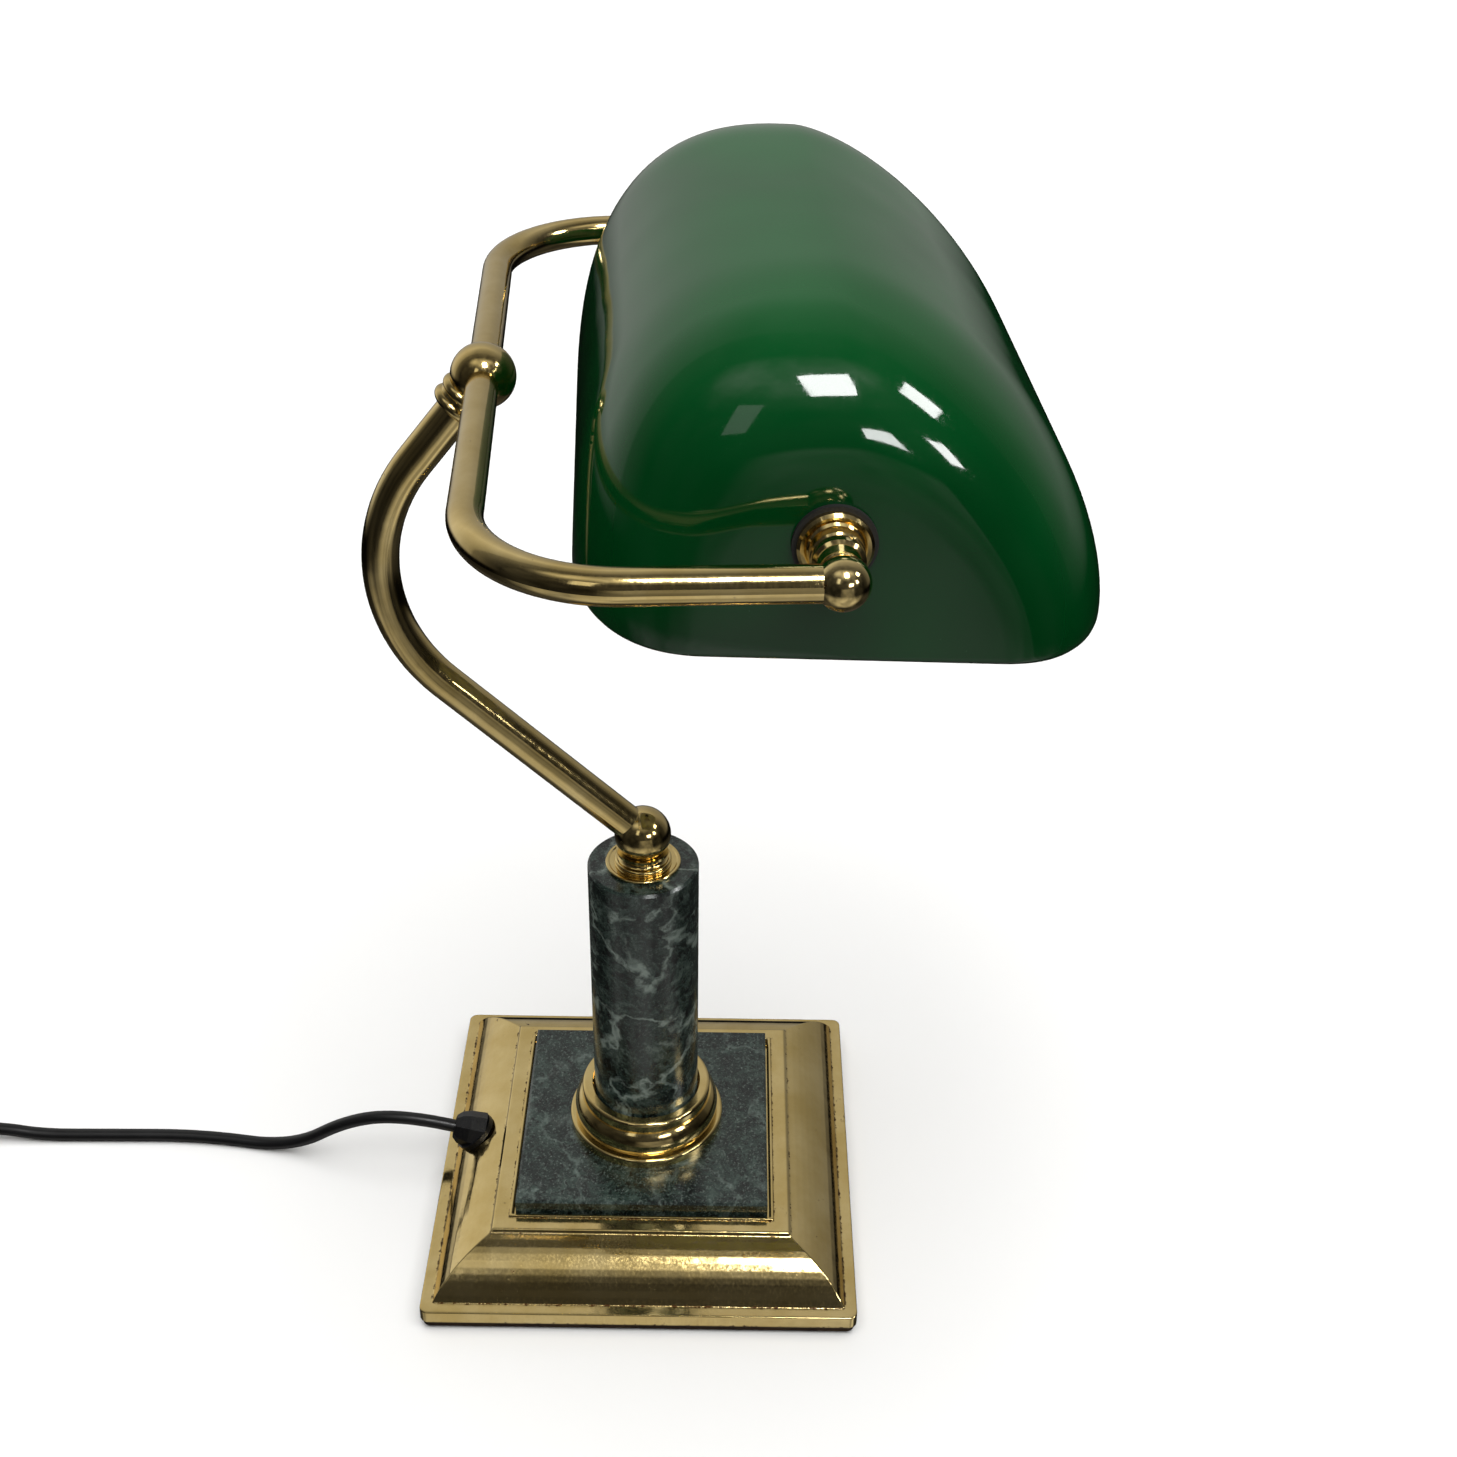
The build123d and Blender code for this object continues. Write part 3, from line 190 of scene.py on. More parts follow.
def polished_brass(name, pitting, creased=False):
    """Polished and lacquered brass: mirror bright, with hairlines, and brown pits where the lacquer went.

    A creased piece has an attribute that is 1 in its creases, where tarnish and old polish gather."""
    material, tree = new_material(name)
    mm = millimetres(tree)
    # tarnish that comes and goes over some 20 mm
    cloud = add(tree, "ShaderNodeTexNoise", {"Vector": mm, "Scale": 1 / 22, "Detail": 4.0, "Roughness": 0.6})
    tone = add(tree, "ShaderNodeValToRGB", {"Fac": cloud.outputs[0]},
               ramp=[(0.35, "#e4cd90"), (0.65, "#d3b976")])
    # pits about 0.7 mm across, in patches
    pit = add(tree, "ShaderNodeTexNoise", {"Vector": mm, "Scale": 1 / 1.5, "Detail": 3.0, "Roughness": 0.7})
    patch = add(tree, "ShaderNodeTexNoise", {"Vector": mm, "Scale": 1 / 14, "Detail": 3.0, "Roughness": 0.65})
    both = add(tree, "ShaderNodeMath", {0: pit.outputs[0], 1: patch.outputs[0]}, operation="MULTIPLY")
    pits = add(tree, "ShaderNodeValToRGB", {"Fac": both.outputs[0]},
               ramp=[(0.44 - 0.04 * pitting, 0.0), (0.50 - 0.04 * pitting, 1.0)])
    marks = pits.outputs[0]
    if creased:
        crease = add(tree, "ShaderNodeAttribute", attribute_name="crease").outputs["Fac"]
        grit = add(tree, "ShaderNodeTexNoise", {"Vector": mm, "Scale": 1 / 2.2, "Detail": 5.0,
                                                "Roughness": 0.75})
        more = add(tree, "ShaderNodeMath", {0: crease, 1: 0.62, 2: -0.52}, operation="MULTIPLY_ADD")
        reached = add(tree, "ShaderNodeMath", {0: grit.outputs[0], 1: more.outputs[0]}, operation="ADD")
        dirt = add(tree, "ShaderNodeMapRange", {0: reached.outputs[0], 1: 0.50, 2: 0.60, 3: 0.0, 4: 1.0})
        marks = add(tree, "ShaderNodeMath", {0: dirt.outputs[0], 1: marks}, operation="MAXIMUM").outputs[0]
    colour = add(tree, "ShaderNodeMix", {0: marks, 6: tone.outputs[0], 7: linear("#4a3018")},
                 data_type="RGBA")
    # hairlines from polishing, 0.4 mm apart
    lines_at = millimetres(tree, (1, 1, 0.06), (0.5, 0.4, 0))
    hair = add(tree, "ShaderNodeTexNoise", {"Vector": lines_at, "Scale": 1 / 0.8, "Detail": 2.0})
    rough = add(tree, "ShaderNodeMapRange", {0: hair.outputs[0], 1: 0.3, 2: 0.8, 3: 0.07, 4: 0.20})
    rough_pits = add(tree, "ShaderNodeMix", {0: marks, 2: rough.outputs[0], 3: 0.42})
    swell = add(tree, "ShaderNodeTexNoise", {"Vector": mm, "Scale": 1 / 9, "Detail": 1.0})
    wavy = add(tree, "ShaderNodeBump", {"Height": swell.outputs[0], "Strength": 0.10, "Distance": 0.0012})
    dents = add(tree, "ShaderNodeBump", {"Height": marks, "Strength": 0.15, "Distance": 0.00008,
                                         "Normal": wavy.outputs[0]}, invert=True)
    shader = add(tree, "ShaderNodeBsdfPrincipled", {
        "Base Color": colour.outputs[2], "Metallic": 1.0, "Roughness": rough_pits.outputs[0],
        "Normal": dents.outputs[0], "Coat Weight": 0.15, "Coat Roughness": 0.08})
    finish_material(tree, shader)
    return material


def green_glass():
    """The green layer of cased blown glass, fire polished: deep colour, slow swells and a little dust."""
    material, tree = new_material("glass_cased_green")
    mm = millimetres(tree)
    depth = add(tree, "ShaderNodeTexNoise", {"Vector": mm, "Scale": 1 / 70, "Detail": 2.0})
    colour = add(tree, "ShaderNodeValToRGB", {"Fac": depth.outputs[0]},
                 ramp=[(0.3, "#014018"), (0.7, "#045122")])
    # specks of dust about 1 mm across
    specks = add(tree, "ShaderNodeTexNoise", {"Vector": mm, "Scale": 1 / 1.6, "Detail": 6.0,
                                              "Roughness": 0.8})
    dust = add(tree, "ShaderNodeValToRGB", {"Fac": specks.outputs[0]}, ramp=[(0.66, 0.0), (0.80, 1.0)])
    dusty = add(tree, "ShaderNodeMix", {0: dust.outputs[0], 6: colour.outputs[0], 7: linear("#3c7a52")},
                data_type="RGBA")
    rough = add(tree, "ShaderNodeMapRange", {0: specks.outputs[0], 1: 0.4, 2: 0.85, 3: 0.03, 4: 0.16})
    swell = add(tree, "ShaderNodeTexNoise", {"Vector": mm, "Scale": 1 / 38, "Detail": 1.0})
    wavy = add(tree, "ShaderNodeBump", {"Height": swell.outputs[0], "Strength": 0.25, "Distance": 0.0015})
    shader = add(tree, "ShaderNodeBsdfPrincipled", {
        "Base Color": dusty.outputs[2], "Roughness": rough.outputs[0], "IOR": 1.52,
        "Normal": wavy.outputs[0]})
    finish_material(tree, shader)
    return material


def opal_glass():
    """The white layer inside cased glass: milky, glossy, and lit through."""
    material, tree = new_material("glass_opal_white")
    mm = millimetres(tree)
    cloud = add(tree, "ShaderNodeTexNoise", {"Vector": mm, "Scale": 1 / 30, "Detail": 3.0})
    colour = add(tree, "ShaderNodeValToRGB", {"Fac": cloud.outputs[0]},
                 ramp=[(0.3, "#e9ece2"), (0.7, "#f6f6f0")])
    rough = add(tree, "ShaderNodeMapRange", {0: cloud.outputs[0], 3: 0.10, 4: 0.22})
    shader = add(tree, "ShaderNodeBsdfPrincipled", {
        "Base Color": colour.outputs[0], "Roughness": rough.outputs[0], "IOR": 1.5, "Subsurface Weight": 0.4,
        "Subsurface Radius": (0.004, 0.004, 0.003), "Subsurface Scale": 1.0})
    finish_material(tree, shader)
    return material


def green_marble(name, tones, grain, veining, flecking):
    """Serpentine marble, sawn and polished: mottled blackish green, with torn pale veins and fine flecks."""
    material, tree = new_material(name)
    mm = millimetres(tree)
    drift = add(tree, "ShaderNodeTexNoise", {"Vector": mm, "Scale": 1 / 24, "Detail": 5.0, "Roughness": 0.6})
    bent = add(tree, "ShaderNodeVectorMath", {0: drift.outputs[1], 1: (22.0, 22.0, 22.0)},
               operation="MULTIPLY")
    warped = add(tree, "ShaderNodeVectorMath", {0: mm, 1: bent.outputs[0]}, operation="ADD").outputs[0]
    # clouds some 8 mm across, broken up to half a millimetre
    mottle = add(tree, "ShaderNodeTexNoise", {"Vector": warped, "Scale": 1 / 8, "Detail": 10.0,
                                              "Roughness": 0.78})
    ground = add(tree, "ShaderNodeValToRGB", {"Fac": mottle.outputs[0]},
                 ramp=list(zip((0.34, 0.47, 0.56, 0.70), tones)))
    # dark crystals, a grain apart and half as wide
    crystal = add(tree, "ShaderNodeTexVoronoi", {"Vector": warped, "Scale": 1 / grain, "Randomness": 1.0})
    torn_edge = add(tree, "ShaderNodeMath", {0: mottle.outputs[0], 1: 0.9, 2: crystal.outputs[0]},
                    operation="MULTIPLY_ADD")
    dark = add(tree, "ShaderNodeMapRange", {0: torn_edge.outputs[0], 1: 0.62, 2: 0.82, 3: 0.22, 4: 1.0})
    spotted = add(tree, "ShaderNodeMix", {0: 1.0, 6: ground.outputs[0], 7: dark.outputs[0]},
                  data_type="RGBA", blend_type="MULTIPLY")
    # pale flecks under a millimetre
    fleck = add(tree, "ShaderNodeTexNoise", {"Vector": mm, "Scale": 1 / 1.3, "Detail": 3.0, "Roughness": 0.8})
    flecks = add(tree, "ShaderNodeMapRange", {0: fleck.outputs[0], 1: 0.54, 2: 0.78, 3: 0.0, 4: flecking})
    flecked = add(tree, "ShaderNodeMix", {0: flecks.outputs[0], 6: spotted.outputs[2], 7: linear("#8a978f")},
                  data_type="RGBA")
    # a vein runs where a slow noise passes its middle value, and fades in and out
    slow = add(tree, "ShaderNodeTexNoise", {"Vector": warped, "Scale": 1 / 34, "Detail": 3.0,
                                            "Roughness": 0.5})
    off = add(tree, "ShaderNodeMath", {0: slow.outputs[0], 1: 0.5}, operation="SUBTRACT")
    apart = add(tree, "ShaderNodeMath", {0: off.outputs[0]}, operation="ABSOLUTE")
    vein = add(tree, "ShaderNodeMapRange", {0: apart.outputs[0], 1: 0.004, 2: 0.028, 3: 1.0, 4: 0.0})
    torn = add(tree, "ShaderNodeMapRange", {0: mottle.outputs[0], 1: 0.38, 2: 0.56, 3: 0.0, 4: veining})
    shown = add(tree, "ShaderNodeMath", {0: vein.outputs[0], 1: torn.outputs[0]}, operation="MULTIPLY")
    colour = add(tree, "ShaderNodeMix", {0: shown.outputs[0], 6: flecked.outputs[2], 7: linear("#a3b3aa")},
                 data_type="RGBA")
    rough = add(tree, "ShaderNodeMapRange", {0: mottle.outputs[0], 1: 0.3, 2: 0.8, 3: 0.14, 4: 0.28})
    dip = add(tree, "ShaderNodeBump", {"Height": mottle.outputs[0], "Strength": 0.05, "Distance": 0.0004})
    shader = add(tree, "ShaderNodeBsdfPrincipled", {
        "Base Color": colour.outputs[2], "Roughness": rough.outputs[0], "IOR": 1.56,
        "Normal": dip.outputs[0]})
    finish_material(tree, shader)
    return material


def moulded(name, dark, light, grain_mm, rough_low, rough_high, bump):
    """A moulded plastic, rubber or ceramic: two close tones and a fine grain of a given width."""
    material, tree = new_material(name)
    mm = millimetres(tree)
    cloud = add(tree, "ShaderNodeTexNoise", {"Vector": mm, "Scale": 1 / 12, "Detail": 3.0})
    colour = add(tree, "ShaderNodeValToRGB", {"Fac": cloud.outputs[0]}, ramp=[(0.3, dark), (0.7, light)])
    grain = add(tree, "ShaderNodeTexNoise", {"Vector": mm, "Scale": 1 / grain_mm, "Detail": 4.0,
                                             "Roughness": 0.6})
    rough = add(tree, "ShaderNodeMapRange", {0: grain.outputs[0], 1: 0.3, 2: 0.7, 3: rough_low,
                                             4: rough_high})
    dip = add(tree, "ShaderNodeBump", {"Height": grain.outputs[0], "Strength": bump,
                                       "Distance": grain_mm * 2e-4})
    shader = add(tree, "ShaderNodeBsdfPrincipled", {
        "Base Color": colour.outputs[0], "Roughness": rough.outputs[0], "IOR": 1.5, "Normal": dip.outputs[0]})
    finish_material(tree, shader)
    return material


def plain_metal(name, dark, light, line_mm, rough_low, rough_high):
    """A plated, cast or rolled metal: tone that drifts a little, and tool lines of a given spacing."""
    material, tree = new_material(name)
    mm = millimetres(tree)
    cloud = add(tree, "ShaderNodeTexNoise", {"Vector": mm, "Scale": 1 / 15, "Detail": 5.0, "Roughness": 0.65})
    colour = add(tree, "ShaderNodeValToRGB", {"Fac": cloud.outputs[0]}, ramp=[(0.3, dark), (0.7, light)])
    lines = add(tree, "ShaderNodeTexNoise", {"Vector": mm, "Scale": 1 / line_mm, "Detail": 2.0})
    rough = add(tree, "ShaderNodeMapRange", {0: lines.outputs[0], 1: 0.3, 2: 0.7, 3: rough_low,
                                             4: rough_high})
    dip = add(tree, "ShaderNodeBump", {"Height": lines.outputs[0], "Strength": 0.2,
                                       "Distance": line_mm * 1e-4})
    shader = add(tree, "ShaderNodeBsdfPrincipled", {
        "Base Color": colour.outputs[0], "Metallic": 1.0, "Roughness": rough.outputs[0],
        "Normal": dip.outputs[0]})
    finish_material(tree, shader)
    return material


def felt():
    """Wool felt, pressed: matt dark green with fibres lying every way."""
    material, tree = new_material("felt_green_wool")
    mm = millimetres(tree)
    fibre = add(tree, "ShaderNodeTexNoise", {"Vector": mm, "Scale": 1 / 0.9, "Detail": 8.0,
                                             "Roughness": 0.75})
    colour = add(tree, "ShaderNodeValToRGB", {"Fac": fibre.outputs[0]},
                 ramp=[(0.3, "#12231a"), (0.7, "#27452f")])
    dip = add(tree, "ShaderNodeBump", {"Height": fibre.outputs[0], "Strength": 0.7, "Distance": 0.0003})
    shader = add(tree, "ShaderNodeBsdfPrincipled", {
        "Base Color": colour.outputs[0], "Roughness": 0.95, "Sheen Weight": 0.5, "Sheen Roughness": 0.4,
        "Normal": dip.outputs[0]})
    finish_material(tree, shader)
    return material


def frosted_glass():
    """A bulb's glass, etched inside: white and soft, with a clear shine on top."""
    material, tree = new_material("glass_frosted_bulb")
    mm = millimetres(tree)
    cloud = add(tree, "ShaderNodeTexNoise", {"Vector": mm, "Scale": 1 / 18, "Detail": 2.0})
    colour = add(tree, "ShaderNodeValToRGB", {"Fac": cloud.outputs[0]},
                 ramp=[(0.3, "#eceae2"), (0.7, "#f7f6f0")])
    rough = add(tree, "ShaderNodeMapRange", {0: cloud.outputs[0], 3: 0.14, 4: 0.24})
    shader = add(tree, "ShaderNodeBsdfPrincipled", {
        "Base Color": colour.outputs[0], "Roughness": rough.outputs[0], "IOR": 1.5, "Subsurface Weight": 0.5,
        "Subsurface Radius": (0.006, 0.006, 0.005), "Subsurface Scale": 1.0, "Coat Weight": 0.4})
    finish_material(tree, shader)
    return material


# ---- cords: control points of each route, in millimetres ----
LAMP_CORD = [
    (0.0, 75.88, 23.14),
    (0.0, 94.62, 28.51),
    (2.5, 118.0, 23.5),
    (7.0, 144.0, 2.5),
    (13.0, 181.0, 2.5),
    (12.5, 220.0, 2.5),
    (12.0, 246.0, 2.5),
    (12.0, 262.0, 6.0),
    (12.0, 275.0, 6.0),
]
INTO_COIL = [
    (12.0, 331.0, 6.0),
    (12.0, 347.0, 6.0),
    (3.7, 362.0, 3.5),
    (-11.0, 369.5, 2.5),
    (-29.0, 369.0, 2.5),
]
FROM_COIL = [
    (-93.0, 331.0, 7.5),
    (-103.0, 313.0, 2.5),
    (-104.0, 297.0, 2.5),
    (-96.5, 283.0, 4.5),
    (-83.0, 275.0, 6.8),
    (-67.0, 275.0, 6.8),
]


def coil_points():
    """The wound turns, three beside each other below, two between them and three on top, a diameter apart.

    A turn runs once round at the radius and height of its seat in the bundle, and over its last third it
    passes smoothly to the next seat. A seat is its distance from the mean radius and its height."""
    seats = np.array([(5.1, 2.5), (0.0, 2.5), (-5.1, 2.5), (-2.6, 6.95), (2.6, 6.95), (-5.1, 11.4),
                      (0.0, 11.4), (5.1, 11.4)])
    per_turn = 16
    start = math.radians(80)
    last_part = 0.3
    stays, passes = 0.66, 0.34
    t = np.arange(int(COIL_TURNS * per_turn) + 1) / per_turn
    seat = np.clip(t * len(seats) / (COIL_TURNS + last_part), 0, len(seats) - 1)
    low = np.floor(seat).astype(int)
    high = np.minimum(low + 1, len(seats) - 1)
    step = np.clip((seat - low - stays) / passes, 0, 1)
    step = step * step * (3 - 2 * step)
    across, up = (seats[low] + (seats[high] - seats[low]) * step[:, None]).T
    angle = start + 2 * math.pi * t
    ring = COIL_MEAN_R + across
    x, y = COIL_MIDDLE
    return np.column_stack([x + ring * np.cos(angle), y + ring * np.sin(angle), up])


def cord_curve(name, points):
    """One smooth NURBS line through the route's control points, with a round section."""
    curve = bpy.data.curves.new(name, "CURVE")
    curve.dimensions = "3D"
    spline = curve.splines.new("NURBS")
    spline.points.add(len(points) - 1)
    at = np.column_stack([np.array(points) * MM, np.ones(len(points))])
    spline.points.foreach_set("co", at.reshape(-1))
    spline.order_u = 3
    spline.use_endpoint_u = True
    spline.resolution_u = 8
    curve.bevel_depth = CORD_R * MM
    curve.bevel_resolution = 5
    curve.use_fill_caps = True
    piece = bpy.data.objects.new(name, curve)
    bpy.context.scene.collection.objects.link(piece)
    return piece


def cords(material):
    """The cord from the lamp to its switch, and the cord from there through the coil to the plug."""
    lamp = cord_curve("mains_cord_lamp", LAMP_CORD)
    lamp.data.materials.append(material)
    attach(lamp, "base")
    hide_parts("lamp_cord")
    wound = coil_points()
    plug = cord_curve("mains_cord_plug", INTO_COIL + [tuple(p) for p in wound] + FROM_COIL)
    plug.data.materials.append(material)
    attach(plug, "base")
    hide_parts("plug_cord", "cord_coil")


# ---- glass shade ----
def bored(piece, middle, along, radius, length):
    """Cuts a round hole right through a finished piece: a cylinder about a middle, along a direction."""
    mesh = bpy.data.meshes.new("drill")
    work = bmesh.new()
    turn = Vector(along).to_track_quat("Z", "Y").to_matrix().to_4x4()
    bmesh.ops.create_cone(work, cap_ends=True, segments=48, radius1=radius, radius2=radius, depth=length,
                          matrix=Matrix.Translation(middle) @ turn)
    work.to_mesh(mesh)
    work.free()
    drill = bpy.data.objects.new("drill", mesh)
    bpy.context.scene.collection.objects.link(drill)
    cut = piece.modifiers.new("hole", "BOOLEAN")
    cut.object = drill
    cut.solver = "EXACT"
    whole = piece.data
    piece.data = bpy.data.meshes.new_from_object(piece.evaluated_get(bpy.context.evaluated_depsgraph_get()))
    piece.modifiers.clear()
    bpy.data.objects.remove(drill)
    bpy.data.meshes.remove(mesh)
    bpy.data.meshes.remove(whole)


def section(angle, skin):
    """The shade's section at an angle from the back rim (0) over the crest to the front rim (pi), in mm.

    Behind the crest and before it, y and z are powers of the angle's cosine and sine: a superellipse."""
    back = np.cos(angle) > 0
    power_y = np.where(back, BACK_POWERS[0], FRONT_POWERS[0])
    power_z = np.where(back, BACK_POWERS[1], FRONT_POWERS[1])
    half = GLASS_W / 2 - skin
    span = np.where(back, half - GLASS_CREST, half + GLASS_CREST)
    y = np.sign(np.cos(angle)) * np.abs(np.cos(angle)) ** (2 / power_y) * span + GLASS_CREST
    z = np.abs(np.sin(angle)) ** (2 / power_z) * (GLASS_H - skin)
    return y, z


def shade_stations(skin):
    """Places along the shade and the section's share there: a flat end, a rounded shoulder, then straight."""
    end = GLASS_L / 2 - skin
    straight = end - END_DEPTH
    flat = np.linspace(0.02, 1, 7)[:-1] * END_FLAT
    turn = np.linspace(0, math.pi / 2, 30)
    share = END_FLAT + (1 - END_FLAT) * np.sin(turn) ** (2 / END_POWER)
    x = straight + END_DEPTH * np.cos(turn) ** (2 / END_POWER)
    middle = np.linspace(straight, 0, 6)[1:]
    xs = np.concatenate([np.full(len(flat) + 1, end), x, middle])
    shares = np.concatenate([[0.0], flat, share, np.ones(len(middle))])
    return np.concatenate([xs, -xs[-2::-1]]), np.concatenate([shares, shares[-2::-1]])


def shade_mesh():
    """A closed wall: the outer form, a round rim, and the inner form, carried along the shade."""
    rim_r = GLASS_T / 2
    steps = 72
    angle = np.linspace(0, math.pi, steps)
    round_rim = np.linspace(0, math.pi, 9)[1:-1]
    walls = []
    for skin in (0.0, GLASS_T):
        x, share = shade_stations(skin)
        y, z = section(angle, skin)
        ys = share[:, None] * y[None, :]
        zs = rim_r + share[:, None] * z[None, :] * (1 - rim_r / GLASS_H)
        walls.append(np.stack([np.broadcast_to(x[:, None], ys.shape), ys, zs], axis=-1))
    outer, inner = walls

    def rim(column):
        a, b = outer[:, column], inner[:, column]
        middle, half = (a + b) / 2, (a - b) / 2
        down = np.array((0, 0, -rim_r))
        return np.stack([middle + half * math.cos(t) + down * math.sin(t) for t in round_rim], axis=1)

    front, back = rim(-1), rim(0)[:, ::-1]
    points = np.concatenate([outer, front, inner[:, ::-1], back], axis=1)
    mesh = surface_mesh("shade", points * MM, close_v=True)
    # the middle of each rim is where the green layer gives way to the white one
    green_until = steps + len(round_rim) // 2
    columns = points.shape[1]
    column = np.tile(np.arange(columns), points.shape[0] - 1)
    white = (column >= green_until) & (column < columns - len(round_rim) // 2 - 1)
    mesh.polygons.foreach_set("material_index", white.astype(np.int32))
    return mesh


def glass_shade(outside, inside):
    """The shade, leaning on its tilt axis, with a hole at each end for the studs that it hangs on."""
    tilt = joints["shade_tilt"]
    heading = math.atan2(tilt["axis"][1], tilt["axis"][0])
    mesh = shade_mesh()
    tidy_mesh(mesh)
    seat = (Matrix.Translation(tilt["pos_m"]) @ Matrix.Rotation(heading, 4, "Z")
            @ Matrix.Rotation(math.radians(SHADE_LEAN), 4, "X")
            @ Matrix.Translation((0, -AXIS_BACK * MM, -AXIS_UP * MM)))
    mesh.transform(seat)
    piece = place("shade_glass", mesh, "shade", [outside, inside], "cased_green_glass", ["glass_shade"])
    bored(piece, tilt["pos_m"], tilt["axis"], GLASS_HOLE_R * MM, 1.2 * GLASS_L * MM)
    piece.data.set_sharp_from_angle(angle=math.radians(40))


# ---- brass cover of the base ----
def eased(points, radius, steps=4):
    """A closed outline with each corner rounded: a quadratic curve from radius before it to radius after."""
    points = np.array(points, float)
    before = np.roll(points, 1, axis=0) - points
    after = np.roll(points, -1, axis=0) - points
    run_before = np.linalg.norm(before, axis=1)
    run_after = np.linalg.norm(after, axis=1)
    reach = np.minimum(radius, 0.45 * np.minimum(run_before, run_after))
    start = points + before / run_before[:, None] * reach[:, None]
    end = points + after / run_after[:, None] * reach[:, None]
    t = np.linspace(0, 1, steps)[None, :, None]
    bent = start[:, None] * (1 - t) ** 2 + 2 * points[:, None] * t * (1 - t) + end[:, None] * t ** 2
    return bent.reshape(-1, 2)


def divided(points, longest):
    """A closed outline whose runs are cut into equal steps no longer than a given length."""
    run = np.roll(points, -1, axis=0) - points
    parts = np.maximum(np.ceil(np.linalg.norm(run, axis=1) / longest), 1).astype(int)
    owner = np.repeat(np.arange(len(points)), parts)
    step = np.arange(parts.sum()) - np.repeat(np.cumsum(parts) - parts, parts)
    return points[owner] + run[owner] * (step / parts[owner])[:, None]


def square_ring(half, corner, steps=5):
    """Points round squares whose corners are arcs: a row for each half width and its corner's radius."""
    sign = np.array([(1, 1), (-1, 1), (-1, -1), (1, -1)], float)
    angle = np.linspace(0, math.pi / 2, steps)[None, :] + np.arange(4)[:, None] * math.pi / 2
    arc = np.stack([np.cos(angle), np.sin(angle)], axis=-1)
    centre = (half - corner)[:, None, None, None] * sign[None, :, None, :]
    return (centre + corner[:, None, None, None] * arc[None]).reshape(len(half), -1, 2)


def base_cover(material):
    """The stamped moulding: one profile, outside and in, carried round a square with mitred corners.

    A profile point is its distance from the middle and its height, in mm. A raised lip holds the plinth."""
    skin = 1.2
    skirt, plate_top, ledge, top = 80.0, 4.0, 9.5, 26.3
    lip, lip_inside, lip_top = 49.3, 48.1, 27.1
    seat, under_seat, hole = 24.3, 23.1, 8.0
    bulge, edge_r, step, arc_from = 2.8, 0.45, 0.7, 75.7
    foot, head = np.array((75.6, ledge)), np.array((55.8, 25.1))
    t = np.linspace(0, 1, 11)[1:-1, None]
    out = np.array((head[1] - foot[1], foot[0] - head[0]))
    out = out / np.linalg.norm(out)
    slope = foot + (head - foot) * t + out * bulge * 4 * t * (1 - t)
    outer = [(skirt, plate_top), (skirt, ledge), tuple(foot), *map(tuple, slope), tuple(head), (54.84, top),
             (lip, top), (lip, lip_top), (lip_inside, lip_top), (lip_inside, seat), (hole, seat)]
    inner = [(hole, under_seat), (53.9, under_seat), *map(tuple, (slope - out * skin)[::-1]),
             (74.9, ledge - skin), (skirt - skin, ledge - skin), (skirt - skin, plate_top)]
    outline = divided(eased(outer + inner, edge_r), step)
    half, height = outline.T
    # tarnish gathers within a couple of millimetres of each crease, in some more than in others
    creases = np.array([foot, head, (lip, top), (skirt, ledge), (skirt, 4.6)])
    weight = np.array([1.0, 0.9, 1.0, 0.55, 0.9])
    apart = np.linalg.norm(outline[:, None] - creases[None], axis=2)
    dirty = (weight * np.clip(1 - apart / 2.2, 0, 1)).max(axis=1)
    # the skirt and ledge turn their corners in an arc, and the slope and all above it are mitred
    corner = np.where(half > arc_from, 3.0, 0.5)
    ring = square_ring(half, corner)
    heights = np.broadcast_to(height[:, None, None], ring.shape[:2] + (1,))
    points = np.concatenate([ring, heights], axis=-1)
    mesh = surface_mesh("cover", points * MM, close_u=True, close_v=True)
    crease = mesh.attributes.new("crease", "FLOAT", "POINT")
    crease.data.foreach_set("value", np.repeat(dirty, ring.shape[1]).astype(np.float32))
    tidy_mesh(mesh)
    piece = place("base_moulding", mesh, "base", [material], "polished_brass", ["base_cover"])
    piece.modifiers.new("flat faces stay flat", "WEIGHTED_NORMAL").weight = 60


# ---- everything else keeps its shape and takes its material ----
def dress(material, *names):
    """Gives the named pieces of the frame one material."""
    for name in names:
        nodes[name].material_slots[0].material = material


# ---- light and floor ----
def panel(name, at, towards, size, radiance):
    """A small bright window or ceiling light that only shines in polished faces."""
    data = bpy.data.lights.new(name, "AREA")
    data.shape = "RECTANGLE"
    data.size, data.size_y = size
    data.energy = radiance * math.pi * size[0] * size[1]
    lamp = bpy.data.objects.new(name, data)
    bpy.context.scene.collection.objects.link(lamp)
    lamp.location = at
    lamp.rotation_euler = (Vector(towards) - Vector(at)).to_track_quat("-Z", "Y").to_euler()
    lamp.visible_diffuse = False


def overhead(name, tilt, strength, angle):
    """A wide soft light from above: it fills the shadows and does not show in polished faces."""
    data = bpy.data.lights.new(name, "SUN")
    data.energy = strength
    data.angle = math.radians(angle)
    lamp = bpy.data.objects.new(name, data)
    bpy.context.scene.collection.objects.link(lamp)
    lamp.rotation_euler = [math.radians(v) for v in tilt]
    lamp.visible_glossy = False


